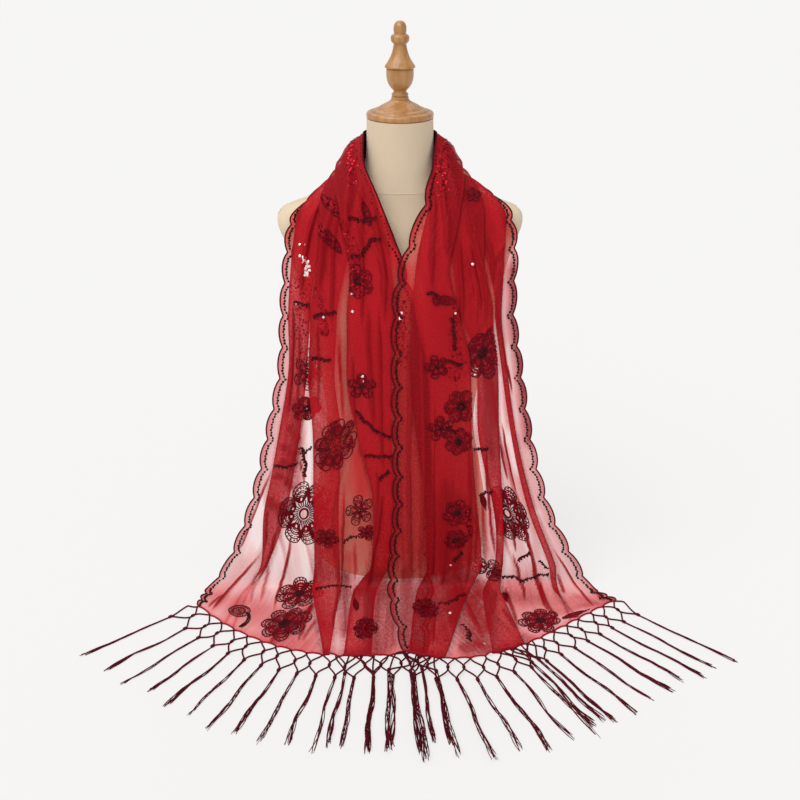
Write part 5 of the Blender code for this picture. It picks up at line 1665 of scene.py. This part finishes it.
VINES = [  # the pixels that a vine runs through where it shows
    ((350, 223), (364, 224), (378, 223)), ((352, 262), (362, 256), (372, 247), (381, 241)),
    ((314, 317), (335, 316), (355, 317)), ((312, 360), (330, 360), (352, 360)),
    ((299, 452), (305, 453), (311, 452)), ((317, 452), (328, 452)),
    ((301, 455), (304, 465), (304, 478)), ((352, 455), (366, 458), (380, 459), (391, 457)),
    ((274, 469), (286, 469), (297, 466)), ((480, 492), (486, 490), (492, 489)),
    ((356, 415), (366, 426), (377, 433), (390, 440)), ((343, 545), (350, 541), (356, 538)),
    ((300, 605), (316, 592), (328, 588), (340, 586), (350, 588), (357, 593)),
    ((371, 489), (380, 481), (389, 474)), ((455, 560), (462, 548)),
    ((503, 577), (514, 576), (524, 577), (536, 575), (549, 573)), ((519, 558), (530, 552)),
    ((540, 560), (548, 568)), ((440, 602), (449, 599), (458, 597), (466, 593), (480, 585)),
    ((455, 612), (462, 621), (468, 630), (470, 640)), ((446, 360), (462, 360)),
    ((452, 315), (453, 330), (454, 345)), ((475, 448), (488, 448)), ((446, 428), (456, 430)),
    ((294, 306), (308, 308)),
]
# Pixels at which one pale sequin shows, as a painted glint.
GLINTS = [(299, 248), (305, 245), (295, 306), (323, 319), (352, 312), (351, 298), (402, 308), (307, 369),
          (362, 378), (364, 386), (473, 260), (455, 309), (475, 366), (451, 562), (451, 611), (484, 642),
          (545, 625), (401, 314), (487, 650), (475, 369), (478, 365)]
# The parts that no sight line reaches have motifs too, in rows along the cut.
HIDDEN_PITCH = (0.118, 0.150)  # across, and along between rows that stand alike
HIDDEN_START = (0.055, 0.07)  # first motif of a row, first row from the right hem
HIDDEN_END = (0.045, 0.05)  # left free at the outer edge and at the left hem
HIDDEN_SIZE = 0.85
HIDDEN_ROUND = ("rosette", "small_flower", "ring_flower", "leaf", "sequin_flower", "corded_flower",
                "small_flower", "curl")
PROBES = [(k, m / 2) for k in (-0.9, -0.45, 0, 0.45, 0.9) for m in (-1, 0, 1)]  # in a motif's reach
SIGHT_SLACK = 0.004  # between a place and what is seen there
VINE_LEAP = 0.06  # a vine stops where the next place in the cut is further off
VINE_CORD = 1.3  # thickness, in petal cords
VINE_STEP = 0.0026
VINE_SWAY = (0.0012, 0.05)  # most, and share of its length
VINE_BESIDE = (0.0015, 0.0017)  # bead rows on its two sides

work = Stitching()
placed = []


def in_sight(across, along):
    """Whether the camera sees that place of the cut uncovered."""
    point, start = Vector(on_cloth(across, along)[0][0]), Vector(CAMERA_PLACE)
    hit = cloth_tree.ray_cast(start, (point - start).normalized())[0]
    return hit is not None and (hit - point).length < SIGHT_SLACK


def add_motif(name, across, along, turn, size, tall=1.0):
    """Stitches a motif into the work at its place in the cut."""
    own = Stitching()
    MOTIFS[name](own)
    c, s = math.cos(turn) * size, math.sin(turn) * size
    matrix = np.array([[c, s * tall], [-s, c * tall]])
    middle = np.array([across, along])
    for line, width in own.cords:
        work.cord(line @ matrix + middle, width)
    work.beads += [tuple(np.array(b) @ matrix + middle) for b in own.beads]
    work.sequins += [(*(np.array(q[:2]) @ matrix + middle), q[2]) for q in own.sequins]
    placed.append((across, along, REACH[name] * size))


for name, px, py, turn, *sizes in SHOWN:
    found = seen_in_cut(px, py)
    if found:
        add_motif(name, *found, math.radians(turn), *sizes)
shown = len(placed)
for i, along in enumerate(np.arange(ALONG[0] + HIDDEN_START[1], ALONG[-1] - HIDDEN_END[1],
                                    HIDDEN_PITCH[1] / 2)):
    first_across = HIDDEN_START[0] * (1 + i % 2)
    for j, across in enumerate(np.arange(first_across, CUT_WIDTH - HIDDEN_END[0], HIDDEN_PITCH[0])):
        name = HIDDEN_ROUND[(3 * i + 2 * j) % len(HIDDEN_ROUND)]
        reach = REACH[name]
        clear = all(math.hypot(across - a, along - b) > r + HIDDEN_SIZE * reach for a, b, r in placed)
        if clear and not any(in_sight(across + k * reach, along + m * reach) for k, m in PROBES):
            add_motif(name, across, along, 1.7 * i + j, HIDDEN_SIZE)
print(f"{shown} motifs in sight and {len(placed) - shown} elsewhere")


def add_vine(first, last):
    """A cord between two places of the cut, swaying a little, with a row of beads on each side."""
    start, end = np.array(first), np.array(last)
    length = np.linalg.norm(end - start)
    t = np.linspace(0, 1, max(3, int(length / VINE_STEP)))
    side = np.array([start[1] - end[1], end[0] - start[0]]) / max(length, 1e-6)
    sway = min(VINE_SWAY[0], VINE_SWAY[1] * length) * np.sin(6 * t)
    line = start + (end - start) * t[:, None] + side * sway[:, None]
    work.cord(line, VINE_CORD)
    work.bead(line + side * VINE_BESIDE[0])
    work.bead(line[::2] - side * VINE_BESIDE[1])


for path in VINES:
    spots = [seen_in_cut(*p) for p in path]
    for first, last in zip(spots[:-1], spots[1:]):
        if first and last and math.dist(first, last) < VINE_LEAP:
            add_vine(first, last)
# pale sequins as painted glints at the listed pixels
work.sequins += [(*spot, 1.0) for spot in (seen_in_cut(*p) for p in GLINTS) if spot]
print(f"{len(work.cords)} cords, {len(work.beads)} beads and {len(work.sequins)} sequins to sew")

# %% Sew them on
PETAL_CORD = 0.00095
SMALL_BEAD = 0.0017
SEQUIN_RADIUS = 0.0016
SEQUIN_LIFT = 0.0007
SEWN_MARGIN = 0.001  # nothing is sewn nearer to an edge of the cut
TILT = 0.30  # how far sequins lean, as a sine
# the pale sequins are painted glints, drawn larger
GLINT_SIZE = 1.35  # of the pale sequins, against the others


def inside_cut(spots):
    """Whether each place lies inside the cut's own edges."""
    across, along = spots[:, 0], spots[:, 1]
    return ((across > SEWN_MARGIN) & (across < CUT_WIDTH - SEWN_MARGIN)
            & (along > ALONG[0] + SEWN_MARGIN) & (along < ALONG[-1] - SEWN_MARGIN))


def sewn(spots, lift, reach):
    """The spots that lie inside the cut, their points on the cloth and the cloth's direction there."""
    spots = np.array(spots)
    spots = spots[inside_cut(spots)]
    return (spots, *on_cloth(spots[:, 0], spots[:, 1], lift, reach))


petal_lines = [(on_cloth(line[:, 0], line[:, 1], PETAL_CORD, width * PETAL_CORD)[0], width)
               for line, width in work.cords if inside_cut(line).all()]
petal_cords = grown("petal_cords", chains_mesh("petals", petal_lines), CORD, Radius=PETAL_CORD, Sides=4,
                    Finish=petal_yarn)

_, points, ways = sewn(work.beads, 0.5 * SMALL_BEAD, SMALL_BEAD)
vine_sizes = 0.8 + 0.4 * rng.random(len(points))
vine_tints = 0.6 * rng.random(len(points))
vine_beads = grown("vine_beads", points_mesh("small_beads", points, ways, vine_sizes, vine_tints),
                   BEAD, Radius=SMALL_BEAD, Finish=glass)

spots, points, ways = sewn(work.sequins, SEQUIN_LIFT, SEQUIN_RADIUS)
tints = spots[:, 2]
ways = ways + TILT * rng.normal(0, 0.6, ways.shape)
disc_sizes = (0.85 + 0.3 * rng.random(len(points))) * np.where(tints >= GLINT_FROM, GLINT_SIZE, 1.0)
sequin_piece = grown("sequins", points_mesh("discs", points, ways, disc_sizes, tints),
                     SEQUIN, Radius=SEQUIN_RADIUS, Finish=foil)

# %% [markdown]
# ## Knotted fringe
# Sixteen cords are drawn through each hem. Neighbours are knotted together, parted and knotted
# again, which makes a net of open cells, and below the second knots the strands hang on as a
# loose tassel. Here the net lies on the table, a little slack. Knots are short coils of the cord
# itself. A tassel is a handful of strands that wind round each other, part near the end and stop
# at uneven lengths, with now and then a thin one that runs on.

# %% Fringe layout
# Half, side, rise where one fringe crosses the other, lengths of the tassels and their fan in degrees.
FRINGES = {
    "fringe_left": (LEFT, -1, 0.0, (0.144, 0.142, 0.136, 0.126, 0.142), (-6.0, 4.0, 18.0, 34.0, 51.0)),
    "fringe_right": (RIGHT, 1, 0.0030, (0.156, 0.150, 0.144, 0.148, 0.160), (0.0, 19.0, 30.0, 44.0, 48.0)),
}
CROSSING = (0.085, 0.125)  # where the upper fringe comes down again, from the middle
FRINGE_REST = 0.0014  # middle of a cord above the table
ROW_ONE, ROW_TWO = 0.024, 0.050  # knots and tassel heads, from the hem
ANCHOR_OUT = 0.6 * HEM_PULL  # where a cord leaves the hem
KNOT_UNEVEN = 0.0022
KNOT_DRIFT = 0.0015
CORNER_HEAD, CORNER_TIE = 0.25, 0.45  # how far a corner's head and tie stand outside, in pitches
TIE_OUT = 0.6 * ROW_ONE  # a corner's tie, from the hem
TASSEL_UNEVEN = (0.000, 0.006, -0.004, 0.003, -0.007, 0.005, -0.002, 0.004)
TASSEL_SWAY = (0.0014, -0.0019, 0.0009, 0.0021, -0.0012, -0.0016, 0.0019, -0.0008)
TASSEL_BENDS = (0.34, 0.66)
TASSEL_STRANDS = (12, 8, 7, 12, 9, 6, 10, 7)
TIP_SPREAD, TIP_UNEVEN = 0.0012, 0.003
LONG_ONES = 0.4  # share of the tassels from which one thin strand runs on
LONG_THICKNESS = 0.7
OUTER_FROM = 12  # tassel from which the room for such a strand is small
ROOM, OUTER_ROOM = 0.016, 0.006
DOUBLED = {  # where a fold's cords lie on the others, as shares of the hem
    "fringe_left": (0.03, 0.20, 0.30), "fringe_right": (0.05, 0.48, 0.51),
}
DOUBLED_LIFT = 0.0016
DOUBLED_OUT = 0.85 * ROW_TWO  # heads of the doubled tassels, from the hem
DOUBLED_CORDS = (-0.9, -0.1, 0.7)  # where they leave the hem, in pitches
DOUBLED_SWAY, DOUBLED_SPREAD, DOUBLED_STRANDS = 0.0015, 1.2, 11
STRAND_POINTS = 18
STRAND_RADIUS = 0.00060
NET_RADIUS = 0.00134
LOOSE = (0.0013, 0.0022)  # how far strands stand off the tassel's middle, at head and end
SPREAD = (1.6, 0.75)  # of a tassel's strands, at the neck side and at the outer side
SLACK = 0.0030  # of the net's cords
SLACK_POINTS = 11
KNOT_HALF = 0.0024  # half the length of a knot of the net
KNOT_COIL = 0.0015  # radius of its coil
HEAD_LENGTH, HEAD_COIL = 0.0056, 0.0018  # of a tassel's head
COIL_TURNS = 3
LOWEST = 0.0006


def hem_place(half, side, rise, share, out, slide=0.0):
    """A point on the table at a share of the hem and a distance out from it."""
    inner = min(max(share, 0.0), 1.0)
    t = np.array([HEM_INSET + (1 - 2 * HEM_INSET) * inner])
    ahead = half.plain(t + 0.01, half.length)[0][:2] - half.plain(t - 0.01, half.length)[0][:2]
    ahead /= np.linalg.norm(ahead)
    spot = half.plain(t, half.length)[0][:2] + np.array([ahead[1], -ahead[0]]) * out
    spot = spot + ahead * (slide + (share - inner) * half.breadth(half.length))
    return np.array([side * spot[0], spot[1], FRINGE_REST + rise * (1 - smoothstep(*CROSSING, spot[0]))])


def slack_cord(start, end, out):
    """A net cord: it leaves each knot straight outwards, swings over between them and bows a little."""
    way = end - start
    depth = out * (way @ out)
    share = np.linspace(0, 1, SLACK_POINTS)[:, None]
    swing = share * share * (3 - 2 * share)
    cross = np.array([-way[1], way[0], 0.0]) / np.linalg.norm(way[:2])
    bow = SLACK * rng.uniform(-1, 1)
    return start + depth * share + (way - depth) * swing + cross * bow * np.sin(np.pi * share)


def coil(middle, way, length, radius):
    """A knot: the cord wound a few times round itself."""
    u = np.linspace(0, 1, 9 * COIL_TURNS)
    cross = np.array([-way[1], way[0], 0.0])
    angle = 2 * np.pi * COIL_TURNS * u
    swell = radius * (0.75 + 0.25 * np.sin(np.pi * u))
    line = middle + way * (u - 0.5)[:, None] * length + cross * (swell * np.cos(angle))[:, None]
    line[:, 2] += 0.0006 + 0.75 * swell * np.sin(angle)
    line[:, 2] = np.maximum(line[:, 2], NET_RADIUS)
    return line


def tassel(head, way, reach, sway, room, spread, strands):
    """The strands of one tassel, each with its thickness; spread is how wide apart they lie."""
    cross = np.array([-way[1], way[0], 0.0])
    u = np.linspace(0, 1, STRAND_POINTS)
    bend = np.array([monotone((0, *TASSEL_BENDS, 1), (0, sway, -sway, sway / 2), x) for x in u])
    parted = smoothstep(TASSEL_BENDS[1] - 0.12, 1.0, u)
    runs_on = rng.random() < LONG_ONES
    made = []
    for k in range(strands):
        end = 1 if k % 2 else -1
        long_one = runs_on and k == strands - 1
        extra = rng.uniform(0.2, 0.7) * room if long_one else rng.uniform(-0.006, 0.002)
        phase, twist = rng.uniform(0, 2 * np.pi), rng.uniform(5, 9)
        loose = spread * (LOOSE[0] + (LOOSE[1] - LOOSE[0]) * u)
        angle = phase + twist * u
        wave = 0.0009 * u * np.sin(rng.uniform(9, 15) * u + phase)
        aside = bend + parted * end * TIP_SPREAD * rng.uniform(0.5, 1.15) + loose * np.cos(angle) + wave
        line = head + way * (u * (reach - TIP_UNEVEN * end + extra))[:, None] + cross * aside[:, None]
        line[:, 2] += 0.45 * loose * np.sin(angle)
        line[:, 2] = np.maximum(line[:, 2], LOWEST)
        thickness = (LONG_THICKNESS if long_one else 1.0) * (1 - 0.2 * smoothstep(0.9, 1.0, u))
        made.append((line, thickness))
    return made


# %% Knot the fringe
def knot_fringe(half, side, rise, lengths, fan, doubled):
    """All cords of one fringe, each with its thickness."""
    pitch = 1.0 / (FRINGE_TASSELS - 1)
    net = NET_RADIUS / STRAND_RADIUS

    def at(share, out, slide=0.0):
        return hem_place(half, side, rise, share, out, slide)

    def drop(share):
        """Straight out from the hem there."""
        way = at(share, ROW_TWO) - at(share, 0.0)
        way[2] = 0.0
        return way / np.linalg.norm(way)

    def spread_over(values, share):
        """The value at a share of the hem, between values spread evenly over it."""
        return np.interp(share, np.linspace(0, 1, len(values)), values)

    def fan_way(share):
        """The way a tassel lies that hangs there."""
        turn = math.radians(spread_over(fan, share))
        return np.array([side * math.sin(turn), -math.cos(turn), 0.0])

    def headed(head, share, length, sway, room, spread, strands):
        """A tassel under the knot that holds it."""
        way = fan_way(share)
        return [(coil(head, way, HEAD_LENGTH, HEAD_COIL), net),
                *tassel(head, way, length, sway, room, spread, strands)]

    anchors = [at(i * pitch, ANCHOR_OUT) for i in range(FRINGE_TASSELS)]
    knots = [at((i + 0.5) * pitch, ROW_ONE + rng.uniform(-KNOT_UNEVEN, KNOT_UNEVEN), KNOT_DRIFT * (-1) ** i)
             for i in range(FRINGE_TASSELS - 1)]
    made = []
    for i, knot in enumerate(knots):
        out = drop((i + 0.5) * pitch)
        made += [(slack_cord(anchors[n], knot - out * KNOT_HALF, out), net) for n in (i, i + 1)]
        made.append((coil(knot, out, 2 * KNOT_HALF, KNOT_COIL), net))
    for i in range(FRINGE_TASSELS):
        place = i * pitch
        corner = (i == FRINGE_TASSELS - 1) - (i == 0)
        head = at(place + CORNER_HEAD * corner * pitch, ROW_TWO)
        for j in (i - 1, i):
            if 0 <= j < len(knots):
                out = drop((j + 0.5) * pitch)
                made.append((slack_cord(knots[j] + out * KNOT_HALF, head, out), net))
        if corner:
            tie = at(place + CORNER_TIE * corner * pitch, TIE_OUT)
            out = drop(place)
            made += [(slack_cord(anchors[i], tie, out), net), (slack_cord(tie, head, out), net)]
        made += headed(head, place, spread_over(lengths, place) + TASSEL_UNEVEN[i % len(TASSEL_UNEVEN)],
                       TASSEL_SWAY[i % len(TASSEL_SWAY)], OUTER_ROOM if i >= OUTER_FROM else ROOM,
                       spread_over(SPREAD, place), TASSEL_STRANDS[(i + 3 * (side > 0)) % len(TASSEL_STRANDS)])
    for share in doubled:
        out, head = drop(share), at(share, DOUBLED_OUT) + np.array([0.0, 0.0, DOUBLED_LIFT])
        for aside in DOUBLED_CORDS:
            made.append((slack_cord(at(share + aside * pitch, ANCHOR_OUT), head, out), net))
        made += headed(head, share, spread_over(lengths, share), DOUBLED_SWAY, OUTER_ROOM,
                       DOUBLED_SPREAD, DOUBLED_STRANDS)
    return made


fringes = []
for name, layout in FRINGES.items():
    cords = chains_mesh(name, knot_fringe(*layout, DOUBLED[name]))
    piece = grown(name + "_cords", cords, CORD, Radius=STRAND_RADIUS, Sides=6, Finish=yarn)
    fringes.append((piece, name))

# %% Finish the frame
trims = (edge_cords, hem_cords, edge_threads, edge_beads, petal_cords, vine_beads, sequin_piece)
for piece in trims:
    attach(piece, "root")
for piece, solid in fringes:
    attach(piece, "root")
    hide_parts(solid)
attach(cloth, "root")
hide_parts("stole_neck", "stole_front_left", "stole_front_right")
